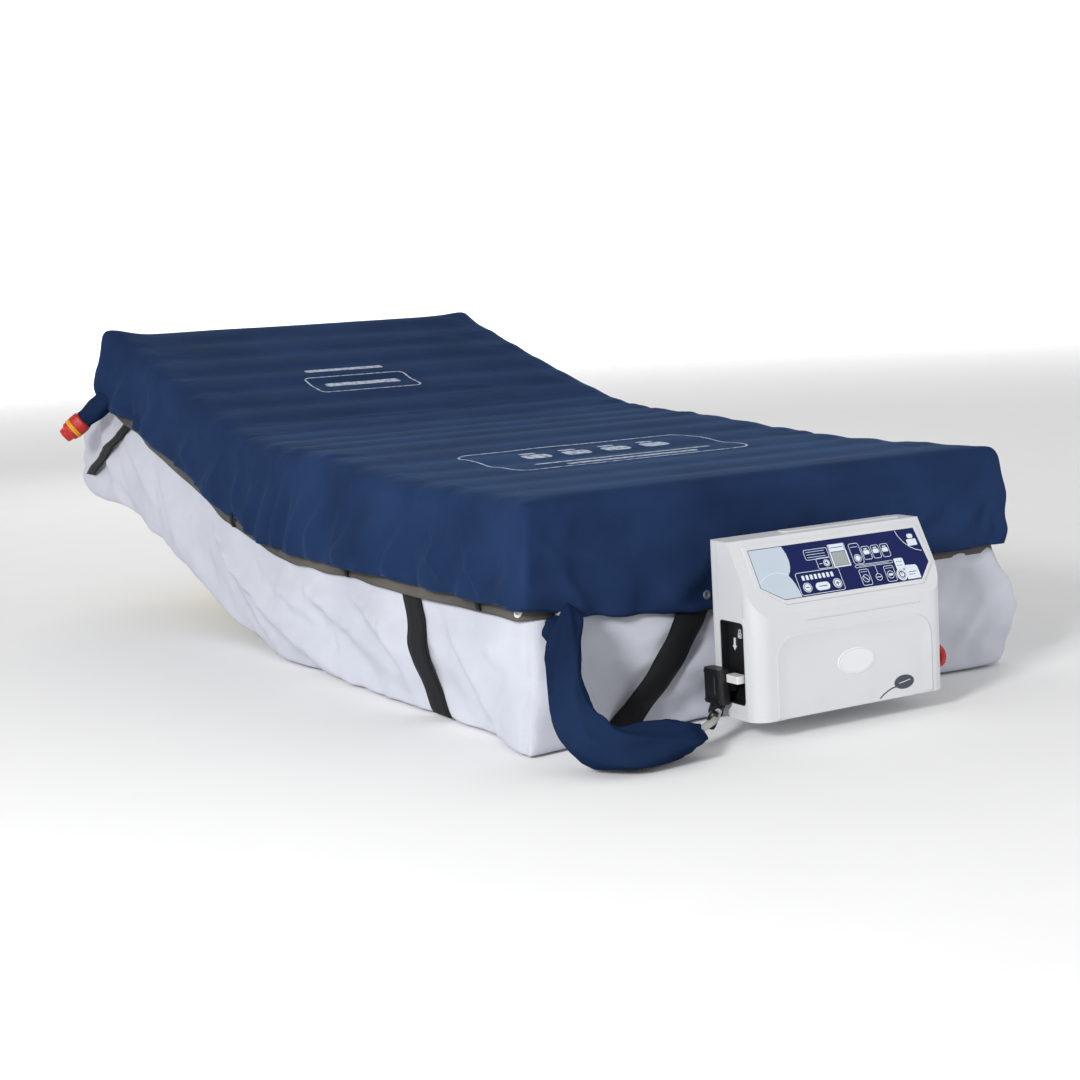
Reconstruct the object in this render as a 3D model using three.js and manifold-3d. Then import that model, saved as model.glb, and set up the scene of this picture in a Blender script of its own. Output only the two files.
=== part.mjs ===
// Pressure relief mattress: an alternating-pressure air overlay with its pump, hose and straps, on a
// sheeted base mattress, with the head section raised as on a profiling bed.
// Millimetres. X runs across the bed, Y from the foot (-) to the head (+), Z up from the bed surface.
import * as THREE from "three";
import { mergeVertices } from "three/addons/utils/BufferGeometryUtils.js";
import Module from "manifold-3d";

const wasm = await Module();
wasm.setup();

// Driving dimensions
const GAP = 0.5; // clearance between neighbouring pieces
const BASE_WIDTH = 880; // base mattress over its sheet
const BASE_TOP = 222;
const BASE_FOOT = -990;
const BASE_HEAD = 1080;
const SHEET = 1.5; // fitted sheet thickness
const OVERLAY_WIDTH = 900; // air overlay over its cover
const OVERLAY_FOOT = -1000;
const OVERLAY_HEAD = 1000;
const OVERLAY_TOP = 366;
const COVER = 2.5; // cover thickness
const COVER_HEM = 212;
const TRAY = 2; // overlay base sheet thickness
const TRAY_HEM = 190;
const EDGE = 26; // rounding of the base mattress along its upper edges
const CELL_COUNT = 17;
const CELL_WIDTH = 110;
const BEND_CELL_WIDTH = 92; // cells squeezed together where the backrest bends
const CELL_WALL = 1.2;
const BACKREST_DEG = 16; // backrest angle as stored
const BEND_START = -175; // the mattress bends over this stretch of its length
const BEND_LENGTH = 450;
const ORIGIN_TO_MIDDLE = 580; // the origin lies under the middle of the flat foot section
const PUMP = { width: 350, depth: 105, height: 255, x: -10, y: -1125.5, z: 29 };
const HOSE_SLEEVE = 52; // outer diameter of the fabric sleeve
const AIR_TUBE = 10; // outer diameter of each air tube

const BACKREST = THREE.MathUtils.degToRad(BACKREST_DEG);
const BEND_RADIUS = BEND_LENGTH / BACKREST;
const BEND_END = BEND_START + BEND_LENGTH;
const BEND_STEPS = 8;

// Looks, of which each mesh gets a material of its own
const look = (color, roughness, metalness = 0) => ({ color, roughness, metalness });
const NAVY = look(0x23395f, 0.5);
const WHITE_COTTON = look(0xe4e4ea, 0.9);
const GREY_NYLON = look(0x5d5b59, 0.8);
const FOAM = look(0xd9cf9e, 0.95);
const CELL_NYLON = look(0x6f7f97, 0.55);
const WEBBING = look(0x16171a, 0.85);
const SHELL_WHITE = look(0xe9e9e6, 0.35);
const PANEL_NAVY = look(0x1f2d5c, 0.4);
const LCD_GREY = look(0xaab0ac, 0.2);
const BLACK_PLASTIC = look(0x121316, 0.45);
const KEY_WHITE = look(0xd9dfe6, 0.45);
const RED_PLASTIC = look(0xc01a12, 0.35);
const YELLOW_PLASTIC = look(0xe8a21c, 0.4);
const CLEAR_PVC = look(0xd8dcdc, 0.15);
const RUBBER = look(0xb9bab8, 0.8);
const STEEL = look(0xa8abad, 0.35, 1);
const BOARD_GREEN = look(0x1f6b3a, 0.5);

const mattress = new THREE.Group();
mattress.position.y = ORIGIN_TO_MIDDLE;

// Solids -----------------------------------------------------------------------------------------

function solidOf(geometry) {
  const flat = geometry.index ? geometry.toNonIndexed() : geometry;
  const bare = new THREE.BufferGeometry().setAttribute("position", flat.getAttribute("position"));
  const merged = mergeVertices(bare, 1e-3);
  return new wasm.Manifold(
    new wasm.Mesh({
      numProp: 3,
      vertProperties: merged.attributes.position.array,
      triVerts: merged.index.array,
    }),
  );
}

function geometryOf(solid) {
  const { vertProperties, triVerts } = solid.getMesh();
  return new THREE.BufferGeometry()
    .setAttribute("position", new THREE.BufferAttribute(vertProperties, 3))
    .setIndex(new THREE.BufferAttribute(triVerts, 1));
}

function piece(parent, name, shape, finish) {
  const geometry = shape.isBufferGeometry ? shape : geometryOf(shape);
  const mesh = new THREE.Mesh(geometry, new THREE.MeshStandardMaterial(finish));
  mesh.name = name;
  parent.add(mesh);
  return mesh;
}

// A box between two opposite corners.
function box([x0, y0, z0], [x1, y1, z1]) {
  const geometry = new THREE.BoxGeometry(x1 - x0, y1 - y0, z1 - z0);
  return geometry.translate((x0 + x1) / 2, (y0 + y1) / 2, (z0 + z1) / 2);
}

// A rounded rectangle with one radius for its lower corners and one for its upper corners.
function roundedRectangle(x0, y0, x1, y1, lower, upper = lower) {
  const shape = new THREE.Shape();
  const corner = (x, y, radius, from) => {
    if (radius > 0) shape.absarc(x, y, radius, from, from + Math.PI / 2, false);
    else shape.lineTo(x, y);
  };
  shape.moveTo(x0 + lower, y0);
  corner(x1 - lower, y0 + lower, lower, -Math.PI / 2);
  corner(x1 - upper, y1 - upper, upper, 0);
  corner(x0 + upper, y1 - upper, upper, Math.PI / 2);
  corner(x0 + lower, y0 + lower, lower, Math.PI);
  return shape;
}

function extruded(shape, depth, curveSegments = 4) {
  return new THREE.ExtrudeGeometry(shape, { depth, bevelEnabled: false, curveSegments });
}

// A side profile drawn as (y, z) and extruded along X from x0 to x1.
function sideProfile(shape, x0, x1, curveSegments = 4) {
  return extruded(shape, x1 - x0, curveSegments)
    .rotateX(Math.PI / 2)
    .rotateZ(Math.PI / 2)
    .translate(x0, 0, 0);
}

function polygon(points) {
  return new THREE.Shape(points.map(([x, y]) => new THREE.Vector2(x, y)));
}

// A solid of revolution about its own Z axis, from [radius, z] points.
function turned(points, sides) {
  const profile = points.map(([radius, z]) => new THREE.Vector2(radius, z));
  return new THREE.LatheGeometry(profile, sides).rotateX(Math.PI / 2);
}

function curveThrough(points) {
  return new THREE.CatmullRomCurve3(points.map((p) => new THREE.Vector3(...p)));
}

// A tube along a curve through the points, offset sideways from it, hollow when bore is given.
function tube(points, { diameter, bore = 0, offset = 0, sides = 10, steps = 40 }) {
  const ring = (path, radius) => {
    for (let k = 0; k <= sides; k++) {
      const angle = (2 * Math.PI * k) / sides;
      const [x, y] = [radius * Math.cos(angle), offset + radius * Math.sin(angle)];
      if (k === 0) path.moveTo(x, y);
      else path.lineTo(x, y);
    }
    return path;
  };
  const section = ring(new THREE.Shape(), diameter / 2);
  if (bore > 0) section.holes.push(ring(new THREE.Path(), bore / 2));
  return new THREE.ExtrudeGeometry(section, {
    extrudePath: curveThrough(points),
    steps,
    bevelEnabled: false,
  });
}

// The mattress as it lies --------------------------------------------------------------------------

// Where a point of the flat mattress, s along it and h above the bed, lies once the backrest is up.
function bend(s, h) {
  if (s <= BEND_START) return { y: s, z: h, angle: 0 };
  const angle = Math.min((s - BEND_START) / BEND_RADIUS, BACKREST);
  const past = Math.max(s - BEND_END, 0);
  const radius = BEND_RADIUS - h;
  return {
    y: BEND_START + radius * Math.sin(angle) + past * Math.cos(angle),
    z: BEND_RADIUS - radius * Math.cos(angle) + past * Math.sin(angle),
    angle,
  };
}

// The foot part of a layer: an (x, h) section carried along s through the bend.
function bentLayer(section, from, to, curveSegments = 4) {
  const stations = [from];
  for (let k = 0; k <= BEND_STEPS; k++) {
    const s = BEND_START + (BEND_LENGTH * k) / BEND_STEPS;
    if (s > from + 1 && s < to - 1) stations.push(s);
  }
  stations.push(to);
  const steps = stations.length - 1;
  const geometry = new THREE.ExtrudeGeometry(section, {
    depth: steps,
    steps,
    bevelEnabled: false,
    curveSegments,
  });
  const place = geometry.getAttribute("position");
  for (let i = 0; i < place.count; i++) {
    const { y, z } = bend(stations[Math.round(place.getZ(i))], place.getY(i));
    place.setXYZ(i, -place.getX(i), y, z);
  }
  return geometry;
}

// The head part of a layer, in the head section's own frame: y from the end of the bend.
function headLayer(section, from, to, curveSegments = 4) {
  return extruded(section, to - from, curveSegments)
    .rotateX(Math.PI / 2)
    .rotateZ(Math.PI)
    .translate(0, from - BEND_END, 0);
}

// A cover's cross-section: a thin wall over the top and down both sides to its hem.
function coverSection(width, hem, top, thickness, radius) {
  const half = width / 2;
  const outer = roundedRectangle(-half, hem, half, top, 0, radius);
  const cut = half - thickness;
  const inner = roundedRectangle(-cut, hem - 1, cut, top - thickness, 0, radius - thickness);
  return { outer, inner };
}

function skin(layer, { width, hem, top, thickness, radius, from, to, wall, wallHem = hem }) {
  const { outer, inner } = coverSection(width, hem, top, thickness, radius);
  const whole = solidOf(layer(outer, from, to));
  const hollow = solidOf(layer(inner, from - 1, to + 1));
  const shell = whole.subtract(hollow);
  if (wall === undefined) return shell;
  const panel = roundedRectangle(-width / 2, wallHem, width / 2, top, 0, radius);
  return shell.add(solidOf(layer(panel, wall, wall + thickness)));
}

const headSection = new THREE.Group();
const bendEnd = bend(BEND_END, 0);
headSection.position.set(0, bendEnd.y, bendEnd.z);
headSection.rotation.x = BACKREST;
mattress.add(headSection);

function addBaseMattress() {
  const foamWidth = BASE_WIDTH - 2 * (SHEET + GAP);
  const foamTop = BASE_TOP - SHEET - GAP;
  const foam = roundedRectangle(-foamWidth / 2, 0, foamWidth / 2, foamTop, 24, EDGE - SHEET - GAP);
  const inset = SHEET + GAP;
  piece(mattress, "base_foam_foot", bentLayer(foam, BASE_FOOT + inset, BEND_END), FOAM);
  piece(headSection, "base_foam_head", headLayer(foam, BEND_END + GAP, BASE_HEAD - inset), FOAM);

  const sheet = { width: BASE_WIDTH, hem: 4, top: BASE_TOP, thickness: SHEET, radius: EDGE };
  piece(
    mattress,
    "fitted_sheet_foot",
    skin(bentLayer, { ...sheet, from: BASE_FOOT, to: BEND_END, wall: BASE_FOOT }),
    WHITE_COTTON,
  );
  const head = { from: BEND_END + GAP, to: BASE_HEAD, wall: BASE_HEAD - SHEET };
  piece(
    headSection,
    "fitted_sheet_head",
    skin(headLayer, { ...sheet, ...head }),
    WHITE_COTTON,
  );
}

function addOverlayFabric() {
  const trayTop = BASE_TOP + GAP + TRAY;
  const tray = {
    width: BASE_WIDTH + 2 * (GAP + TRAY),
    hem: TRAY_HEM,
    top: trayTop,
    thickness: TRAY,
    radius: EDGE + GAP + TRAY,
  };
  const trayFoot = BASE_FOOT - GAP - TRAY;
  piece(
    mattress,
    "overlay_base_foot",
    skin(bentLayer, { ...tray, from: trayFoot, to: BEND_END, wall: trayFoot }),
    GREY_NYLON,
  );
  piece(
    headSection,
    "overlay_base_head",
    skin(headLayer, { ...tray, from: BEND_END + GAP, to: OVERLAY_HEAD - COVER - GAP }),
    GREY_NYLON,
  );

  const cover = {
    width: OVERLAY_WIDTH,
    hem: COVER_HEM,
    top: OVERLAY_TOP,
    thickness: COVER,
    radius: 12,
  };
  piece(
    mattress,
    "cover_foot",
    skin(bentLayer, { ...cover, from: OVERLAY_FOOT, to: BEND_END, wall: OVERLAY_FOOT }),
    NAVY,
  );
  // the end wall at the head stops above the base mattress, which reaches past the overlay there
  const head = { wall: OVERLAY_HEAD - COVER, wallHem: BASE_TOP + GAP + 1 };
  piece(
    headSection,
    "cover_head",
    skin(headLayer, { ...cover, ...head, from: BEND_END + GAP, to: OVERLAY_HEAD }),
    NAVY,
  );
}

// The air cells ------------------------------------------------------------------------------------

const CELL_BOTTOM = BASE_TOP + GAP + TRAY + GAP;
const CELL_TOP = OVERLAY_TOP - COVER - GAP;
const CELL_LEFT = -412; // the air line runs in the space left of the cells
const CELL_RIGHT = 438;
const PORT_DIAMETER = 6;
const PORT_HEIGHT = 22; // port above the cell's underside
const CELL_ROUNDING = 0.42; // of the cell's width

// One cell in its own frame: a thin-walled bag lying along X with an air port in its left end.
function airCell(width) {
  const height = CELL_TOP - CELL_BOTTOM;
  const bag = (inset) =>
    solidOf(
      sideProfile(
        roundedRectangle(
          -width / 2 + inset,
          inset,
          width / 2 - inset,
          height - inset,
          CELL_ROUNDING * width - inset,
        ),
        CELL_LEFT + inset,
        CELL_RIGHT - inset,
        3,
      ),
    );
  const port = new THREE.CylinderGeometry(PORT_DIAMETER / 2, PORT_DIAMETER / 2, 20, 8)
    .rotateZ(Math.PI / 2)
    .translate(CELL_LEFT, 0, PORT_HEIGHT);
  return bag(0).subtract(bag(CELL_WALL)).subtract(solidOf(port));
}

function addAirCells() {
  const pitch = (OVERLAY_HEAD - OVERLAY_FOOT - 2 * COVER - 2) / CELL_COUNT;
  for (let k = 0; k < CELL_COUNT; k++) {
    const s = OVERLAY_FOOT + COVER + 1 + pitch * (k + 0.5);
    const squeezed = s > BEND_START - CELL_WIDTH / 2 && s < BEND_END + CELL_WIDTH / 2;
    const { y, z, angle } = bend(s, CELL_BOTTOM);
    const name = `air_cell_${String(k + 1).padStart(2, "0")}`;
    const shape = airCell(squeezed ? BEND_CELL_WIDTH : CELL_WIDTH);
    const cell = piece(mattress, name, shape, CELL_NYLON);
    cell.position.set(0, y, z);
    cell.rotation.x = angle;
  }
}

// The line that feeds the cells, along their left ends and through the bend.
function addAirLine() {
  const points = [];
  for (let s = OVERLAY_FOOT + 40; s <= OVERLAY_HEAD - 40; s += 60) {
    const { y, z } = bend(s, CELL_BOTTOM + PORT_HEIGHT);
    points.push([CELL_LEFT - 14, y, z]);
  }
  const shape = tube(points, { diameter: 12, bore: 8, sides: 6, steps: 26 });
  piece(mattress, "air_line", shape, CLEAR_PVC);
}

// Straps -------------------------------------------------------------------------------------------

const STRAP_THICKNESS = 1.6;
const STRAP_WIDTH = 64;
const STRAP_OFFSET = BASE_WIDTH / 2 + GAP + TRAY + GAP; // between the tray's skirt and the cover
const STRAP_TOP = 232;
const SIDE_STRAP = { along: -585, bottom: 3, lean: -120 };
const HEAD_STRAP = { along: 560, bottom: 20, lean: 190 }; // along: from the end of the bend

// A band down the side of the stack, leaning by `lean` along Y from its top to its bottom end.
function sideStrap(sign, { along, bottom, lean }) {
  const near = sign * STRAP_OFFSET;
  const far = sign * (STRAP_OFFSET + STRAP_THICKNESS);
  const [x0, x1] = [Math.min(near, far), Math.max(near, far)];
  const [y0, y1] = [along - STRAP_WIDTH / 2, along + STRAP_WIDTH / 2];
  const outline = polygon([
    [y0, STRAP_TOP],
    [y0 + lean, bottom],
    [y1 + lean, bottom],
    [y1, STRAP_TOP],
  ]);
  return sideProfile(outline, x0, x1);
}

function addStraps() {
  for (const [side, sign] of [["left", -1], ["right", 1]]) {
    piece(mattress, `side_strap_${side}`, sideStrap(sign, SIDE_STRAP), WEBBING);
    piece(headSection, `head_strap_${side}`, sideStrap(sign, HEAD_STRAP), WEBBING);
  }
  // the wide strap hangs in the plane between the tray's foot wall and the cover's
  const y = BASE_FOOT - GAP - TRAY - GAP;
  const outline = polygon([
    [-182, STRAP_TOP],
    [-345, 10],
    [-290, 10],
    [-127, STRAP_TOP],
  ]);
  const strap = piece(mattress, "foot_strap", extruded(outline, 2), WEBBING);
  strap.rotation.x = Math.PI / 2;
  strap.position.y = y;
}

// The emergency deflation (CPR) valve at the head corner --------------------------------------------

const CPR_OFFSET = 19; // the sleeve's middle starts this far out from the cover's side
const CPR_ALONG = 961;
const CPR_HEIGHT = 212;
const CPR_OUTWARD = new THREE.Vector3(-0.74, 0.123, -0.66).normalize();

function addCprValve() {
  const valve = new THREE.Group();
  valve.position.set(-OVERLAY_WIDTH / 2 - CPR_OFFSET, CPR_ALONG - BEND_END, CPR_HEIGHT);
  valve.quaternion.setFromUnitVectors(new THREE.Vector3(0, 0, 1), CPR_OUTWARD);
  headSection.add(valve);
  const sleeve = [[0, 0], [26, 0], [26, 20], [24, 50], [22, 60], [0, 60]];
  const body = [[0, 60.5], [22, 60.5], [23.5, 64], [23.5, 82], [0, 82]];
  const band = [[0, 82.5], [24, 82.5], [24, 92], [0, 92]];
  const cap = [[0, 92.5], [22, 92.5], [20, 102], [17, 108], [16, 116], [0, 116]];
  piece(valve, "cpr_sleeve", turned(sleeve, 16), NAVY);
  piece(valve, "cpr_valve_body", turned(body, 20), RED_PLASTIC);
  piece(valve, "cpr_band", turned(band, 20), YELLOW_PLASTIC);
  piece(valve, "cpr_cap", turned(cap, 20), RED_PLASTIC);
}

// Hose ---------------------------------------------------------------------------------------------

// The hose leaves the overlay's foot end, comes down to the surface and turns back up to the pump.
const HOSE_ROUTE = [
  [-400, -1001, 190],
  [-402, -1022, 187],
  [-412, -1045, 175],
  [-428, -1068, 152],
  [-444, -1092, 122],
  [-453, -1116, 90],
  [-452, -1139, 60],
  [-440, -1158, 40],
  [-415, -1170, 30],
  [-380, -1175, 28],
  [-342, -1172, 28],
  [-306, -1163, 28],
  [-274, -1150, 28],
  [-250, -1137, 28.5],
  [-230, -1125, 30],
  [-218, -1116, 34],
  [-210, -1109.5, 40],
];
const HOSE_END = new THREE.Vector3(...HOSE_ROUTE.at(-1));
const HOSE_END_DIRECTION = curveThrough(HOSE_ROUTE).getTangent(1);
const SLEEVE_POINTS = 13;
const TUBE_SPACING = 12;
const CONNECTOR = { x0: -206, x1: -186, y0: -1119, y1: -1075, z0: 50, z1: 101 };

function addHose() {
  const sleeve = tube(HOSE_ROUTE.slice(0, SLEEVE_POINTS), {
    diameter: HOSE_SLEEVE,
    bore: HOSE_SLEEVE - 8,
    steps: 18,
    sides: 10,
  });
  piece(mattress, "hose_sleeve", sleeve, NAVY);
  for (const [name, side] of [["air_tube_a", -1], ["air_tube_b", 1]]) {
    const offset = (side * TUBE_SPACING) / 2;
    const shape = tube(HOSE_ROUTE, { diameter: AIR_TUBE, offset, sides: 8, steps: 34 });
    piece(mattress, name, shape, CLEAR_PVC);
  }
}

// Pump ---------------------------------------------------------------------------------------------

const SHELL = 3; // wall thickness of the pump's case
const SPLIT = 34; // the back case starts here, behind the middle
const RIDGE = 152; // height of the lower edge of the slanted panel
const TOP_FRONT = 6; // the slanted panel ends here, at the top
const SLOPE = Math.atan2(TOP_FRONT + PUMP.depth / 2, PUMP.height - RIDGE);
const SLOPE_LENGTH = Math.hypot(TOP_FRONT + PUMP.depth / 2, PUMP.height - RIDGE);
const PANEL_THICKNESS = 0.8;
const RIM_HEIGHT = 2; // the rim round the panel stands this far proud
const PANEL_RECESS = 1.3;
const PANEL_BACK = RIM_HEIGHT - PANEL_RECESS + 0.4; // underside of the panel above the slanted face
const ARCH_DEPTH = 2; // depth of the arched recess in the front
const KEY_TRAVEL = 0.5;

const pump = new THREE.Group();
pump.position.set(PUMP.x, PUMP.y, PUMP.z);
mattress.add(pump);

// The pump's slanted face: X across, Y up the slope from the ridge, Z out of the face.
const slope = new THREE.Group();
slope.position.set(0, -PUMP.depth / 2, RIDGE);
slope.rotation.x = Math.PI / 2 - SLOPE;
pump.add(slope);
slope.updateMatrix();

const onSlope = (geometry) => geometry.applyMatrix4(slope.matrix);

// The solid block of the case, each face moved in by inset.
function pumpBlock(inset) {
  const front = -PUMP.depth / 2 + inset;
  const rear = PUMP.depth / 2 - inset;
  const top = PUMP.height - inset;
  const profile = polygon([
    [front, inset],
    [rear, inset],
    [rear, top],
    [TOP_FRONT + inset / Math.cos(SLOPE) - inset * Math.tan(SLOPE), top],
    [front, RIDGE - inset * Math.tan(SLOPE / 2)],
  ]);
  const half = PUMP.width / 2 - inset;
  const plan = roundedRectangle(-half, front, half, rear, 26 - inset, 8 - inset);
  const sides = solidOf(sideProfile(profile, -PUMP.width / 2, PUMP.width / 2));
  return sides.intersect(solidOf(extruded(plan, PUMP.height, 6)));
}

// The outline of the panel: a rectangle with its two lower corners cut off.
function panelOutline(grow) {
  return polygon([
    [-147 - grow, 42],
    [-113, 20 - grow],
    [138, 20 - grow],
    [162 + grow, 45],
    [157 + grow, 101 + grow],
    [-147 - grow, 101 + grow],
  ]);
}

const KEYS = {
  key_minus: { x: -68, y: 33, radius: 7.5 },
  key_boost: { x: -41, y: 32, radius: 6, length: 13 },
  key_plus: { x: -14, y: 33, radius: 7.5 },
  key_mute: { x: -20, y: 66, radius: 5.5 },
  key_power: { x: 105, y: 31, radius: 6.5 },
};
const LCD = { x0: -6, y0: 59, x1: 19, y1: 81 };

function keyShape({ radius, length = 0 }, grow) {
  const r = radius + grow;
  const half = length / 2;
  const shape = new THREE.Shape();
  shape.absarc(half, 0, r, -Math.PI / 2, Math.PI / 2, false);
  shape.absarc(-half, 0, r, Math.PI / 2, (3 * Math.PI) / 2, false);
  shape.closePath();
  return shape;
}

const HOOK = { x: 96, z: 226, width: 22 };
const BAY = { y0: -26, y1: 31, z0: 22, z1: 142, depth: 14 };

function addPumpCase() {
  const shell = pumpBlock(0).subtract(pumpBlock(SHELL));
  const far = PUMP.width;
  const frontHalf = solidOf(box([-far, -far, -1], [far, SPLIT, far]));
  const backHalf = solidOf(box([-far, SPLIT + GAP, -1], [far, far, far]));

  // front case: a raised rim round the panel, the panel's recess, an arched recess and the hose bay
  const faceY = -PUMP.depth / 2;
  const rim = extruded(panelOutline(7), 2 * RIM_HEIGHT).translate(0, 0, -RIM_HEIGHT);
  const recess = extruded(panelOutline(0.4), 6).translate(0, 0, RIM_HEIGHT - PANEL_RECESS);
  const arch = roundedRectangle(-138, -20, 147, 121, 0, 34);
  const archCut = extruded(arch, 4, 6).rotateX(Math.PI / 2).translate(0, faceY + ARCH_DEPTH, 0);
  const groove = box([-84, faceY - 1, 137], [126, faceY + 0.8, 138.6]);
  const bay = box(
    [-PUMP.width / 2 - 1, BAY.y0, BAY.z0],
    [-PUMP.width / 2 + SHELL + 1, BAY.y1, BAY.z1],
  );
  const frontCase = shell
    .intersect(frontHalf)
    .add(solidOf(onSlope(rim)).intersect(frontHalf))
    .subtract(solidOf(onSlope(recess)))
    .subtract(solidOf(archCut))
    .subtract(solidOf(groove))
    .subtract(solidOf(bay));
  piece(pump, "pump_front_case", frontCase, SHELL_WHITE);

  // back case: ears on each side of the hooks, a filter window, and cut-outs for inlet and switch
  const rear = PUMP.depth / 2;
  const cutout = (x0, z0, x1, z1) => solidOf(box([x0, rear - SHELL - 1, z0], [x1, rear + 1, z1]));
  let back = shell.intersect(backHalf);
  for (const x of [-HOOK.x, HOOK.x]) {
    for (const side of [-1, 1]) {
      const ear = x + side * (HOOK.width / 2 + GAP + 2);
      const plate = box([ear - 2, rear - 1, HOOK.z - 2], [ear + 2, rear + 11, HOOK.z + 11]);
      back = back.add(solidOf(plate));
    }
  }
  back = back
    .subtract(cutout(-120, 40, -60, 90)) // air filter
    .subtract(cutout(92, 30, 122, 53)) // mains inlet
    .subtract(cutout(134, 28.5, 154, 54.5)); // power switch
  piece(pump, "pump_back_case", back, SHELL_WHITE);

  const footProfile = [[0, -6], [15, -6], [17, -GAP], [0, -GAP]];
  for (const [name, x] of [["pump_foot_left", -118], ["pump_foot_right", 118]]) {
    const foot = piece(pump, name, turned(footProfile, 16), RUBBER);
    foot.position.set(x, -18, 0);
  }
}

function addControlPanel() {
  let panel = solidOf(extruded(panelOutline(0), PANEL_THICKNESS).translate(0, 0, PANEL_BACK));
  for (const key of Object.values(KEYS)) {
    const hole = extruded(keyShape(key, 0.4), 8).translate(key.x, key.y, -2);
    panel = panel.subtract(solidOf(hole));
  }
  const { x0, y0, x1, y1 } = LCD;
  const window = extruded(roundedRectangle(x0, y0, x1, y1, 2), 8).translate(0, 0, -2);
  piece(slope, "control_panel", panel.subtract(solidOf(window)), PANEL_NAVY);

  const pane = roundedRectangle(x0 + 0.4, y0 + 0.4, x1 - 0.4, y1 - 0.4, 1.6);
  const glass = extruded(pane, PANEL_THICKNESS + 0.1).translate(0, 0, PANEL_BACK);
  piece(slope, "lcd_window", glass, LCD_GREY);
  for (const [name, key] of Object.entries(KEYS)) {
    const cap = extruded(keyShape(key, 0), PANEL_THICKNESS + 0.1);
    cap.translate(key.x, key.y, PANEL_BACK + KEY_TRAVEL);
    piece(slope, name, cap, KEY_WHITE);
  }
}

function addPumpInside() {
  const body = solidOf(box([-60, -30, SHELL + 6], [60, 30, 74]));
  const chamber = turned([[0, -82], [26, -82], [26, 82], [0, 82]], 16)
    .rotateY(Math.PI / 2)
    .translate(0, 0, 40);
  piece(pump, "compressor", body.add(solidOf(chamber)), STEEL);
  const board = extruded(roundedRectangle(-105, 20, 105, 104, 3), 1.6).translate(0, 0, -9);
  piece(slope, "circuit_board", board, BOARD_GREEN);
}

function addPumpFittings() {
  const rear = PUMP.depth / 2;
  // hose bay: a liner let into the left side, open to the left
  const left = -PUMP.width / 2;
  const wall = 1.6;
  const [y0, y1] = [BAY.y0 + GAP, BAY.y1 - GAP];
  const [z0, z1] = [BAY.z0 + GAP, BAY.z1 - GAP];
  const liner = solidOf(box([left, y0, z0], [left + BAY.depth, y1, z1]));
  const hollow = box(
    [left - 1, y0 + wall, z0 + wall],
    [left + BAY.depth - wall, y1 - wall, z1 - wall],
  );
  piece(pump, "connector_bay", liner.subtract(solidOf(hollow)), BLACK_PLASTIC);

  // mains inlet: a flanged cup with an open mouth to the rear
  const cup = solidOf(box([93, rear - 20, 31], [121, rear + GAP, 52]));
  const flange = solidOf(box([88, rear + GAP, 26], [126, rear + GAP + 2, 57]));
  const mouth = solidOf(box([95.5, rear - 17, 33.5], [118.5, rear + 4, 49.5]));
  piece(pump, "mains_inlet", cup.add(flange).subtract(mouth), BLACK_PLASTIC);

  const rocker = polygon([
    [rear - 12, -9],
    [rear - 4, -10.5],
    [rear + 3, -10.5],
    [rear + 1, 0],
    [rear + 5, 10.5],
    [rear - 4, 10.5],
    [rear - 12, 9],
  ]);
  const power = piece(pump, "power_switch", sideProfile(rocker, -8.5, 8.5), RED_PLASTIC);
  power.position.set(144, 0, 41.5);

  const grille = solidOf(box([-119.5, rear - 6, 40.5], [-60.5, rear + 1.5, 89.5]));
  let cover = grille;
  for (let k = 0; k < 6; k++) {
    const z = 47 + 7 * k;
    cover = cover.subtract(solidOf(box([-112, rear - 8, z], [-68, rear + 3, z + 3])));
  }
  piece(pump, "filter_cover", cover, SHELL_WHITE);

  // the side knob: a ribbed disc on a short stem
  const knobProfile = [[0, 0.5], [8, 0.5], [8, 4], [17, 4], [17.5, 6], [17.5, 12], [16, 14], [0, 14]];
  const knob = turned(knobProfile, 24);
  const sideKnob = piece(pump, "side_knob", knob, RED_PLASTIC);
  sideKnob.rotation.y = Math.PI / 2;
  sideKnob.position.set(PUMP.width / 2, -20, 44);

  // hanging hooks, pivoted on the back near the top and reaching over a bed rail
  const hook = polygon([
    [0, 3],
    [0, 6],
    [2, 8],
    [30, 8],
    [36, 2],
    [36, -40],
    [31, -44],
    [29, -40],
    [29, 1],
    [2, 1],
  ]);
  for (const [name, x] of [["hook_left", -HOOK.x], ["hook_right", HOOK.x]]) {
    const arm = piece(pump, name, sideProfile(hook, -HOOK.width / 2, HOOK.width / 2), SHELL_WHITE);
    arm.position.set(x, rear + GAP, HOOK.z);
  }
}

function addConnector() {
  const { x0, x1, y0, y1, z0, z1 } = CONNECTOR;
  const plan = roundedRectangle(x0, y0, x1, y1, 6);
  const block = solidOf(extruded(plan, z1 - z0).translate(0, 0, z0));
  // the plug that enters the pump's hose bay
  const plug = box([x1 - 2, y0 + 2, z0 + 18], [x1 + 10, y1 - 23, z1 - 4]);
  // the boot that the two tubes come out of
  const boot = turned([[0, GAP], [11, GAP], [11, 20], [0, 20]], 16);
  const tilt = new THREE.Quaternion();
  tilt.setFromUnitVectors(new THREE.Vector3(0, 0, 1), HOSE_END_DIRECTION);
  boot.applyQuaternion(tilt);
  boot.translate(HOSE_END.x, HOSE_END.y, HOSE_END.z);
  piece(mattress, "hose_connector", block.add(solidOf(plug)).add(solidOf(boot)), BLACK_PLASTIC);
  const tab = roundedRectangle(x0 + 10, y0 - 28, x1 + 6, y0 - GAP, 2);
  piece(mattress, "connector_latch", extruded(tab, 11).translate(0, 0, 84), KEY_WHITE);
}

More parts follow.
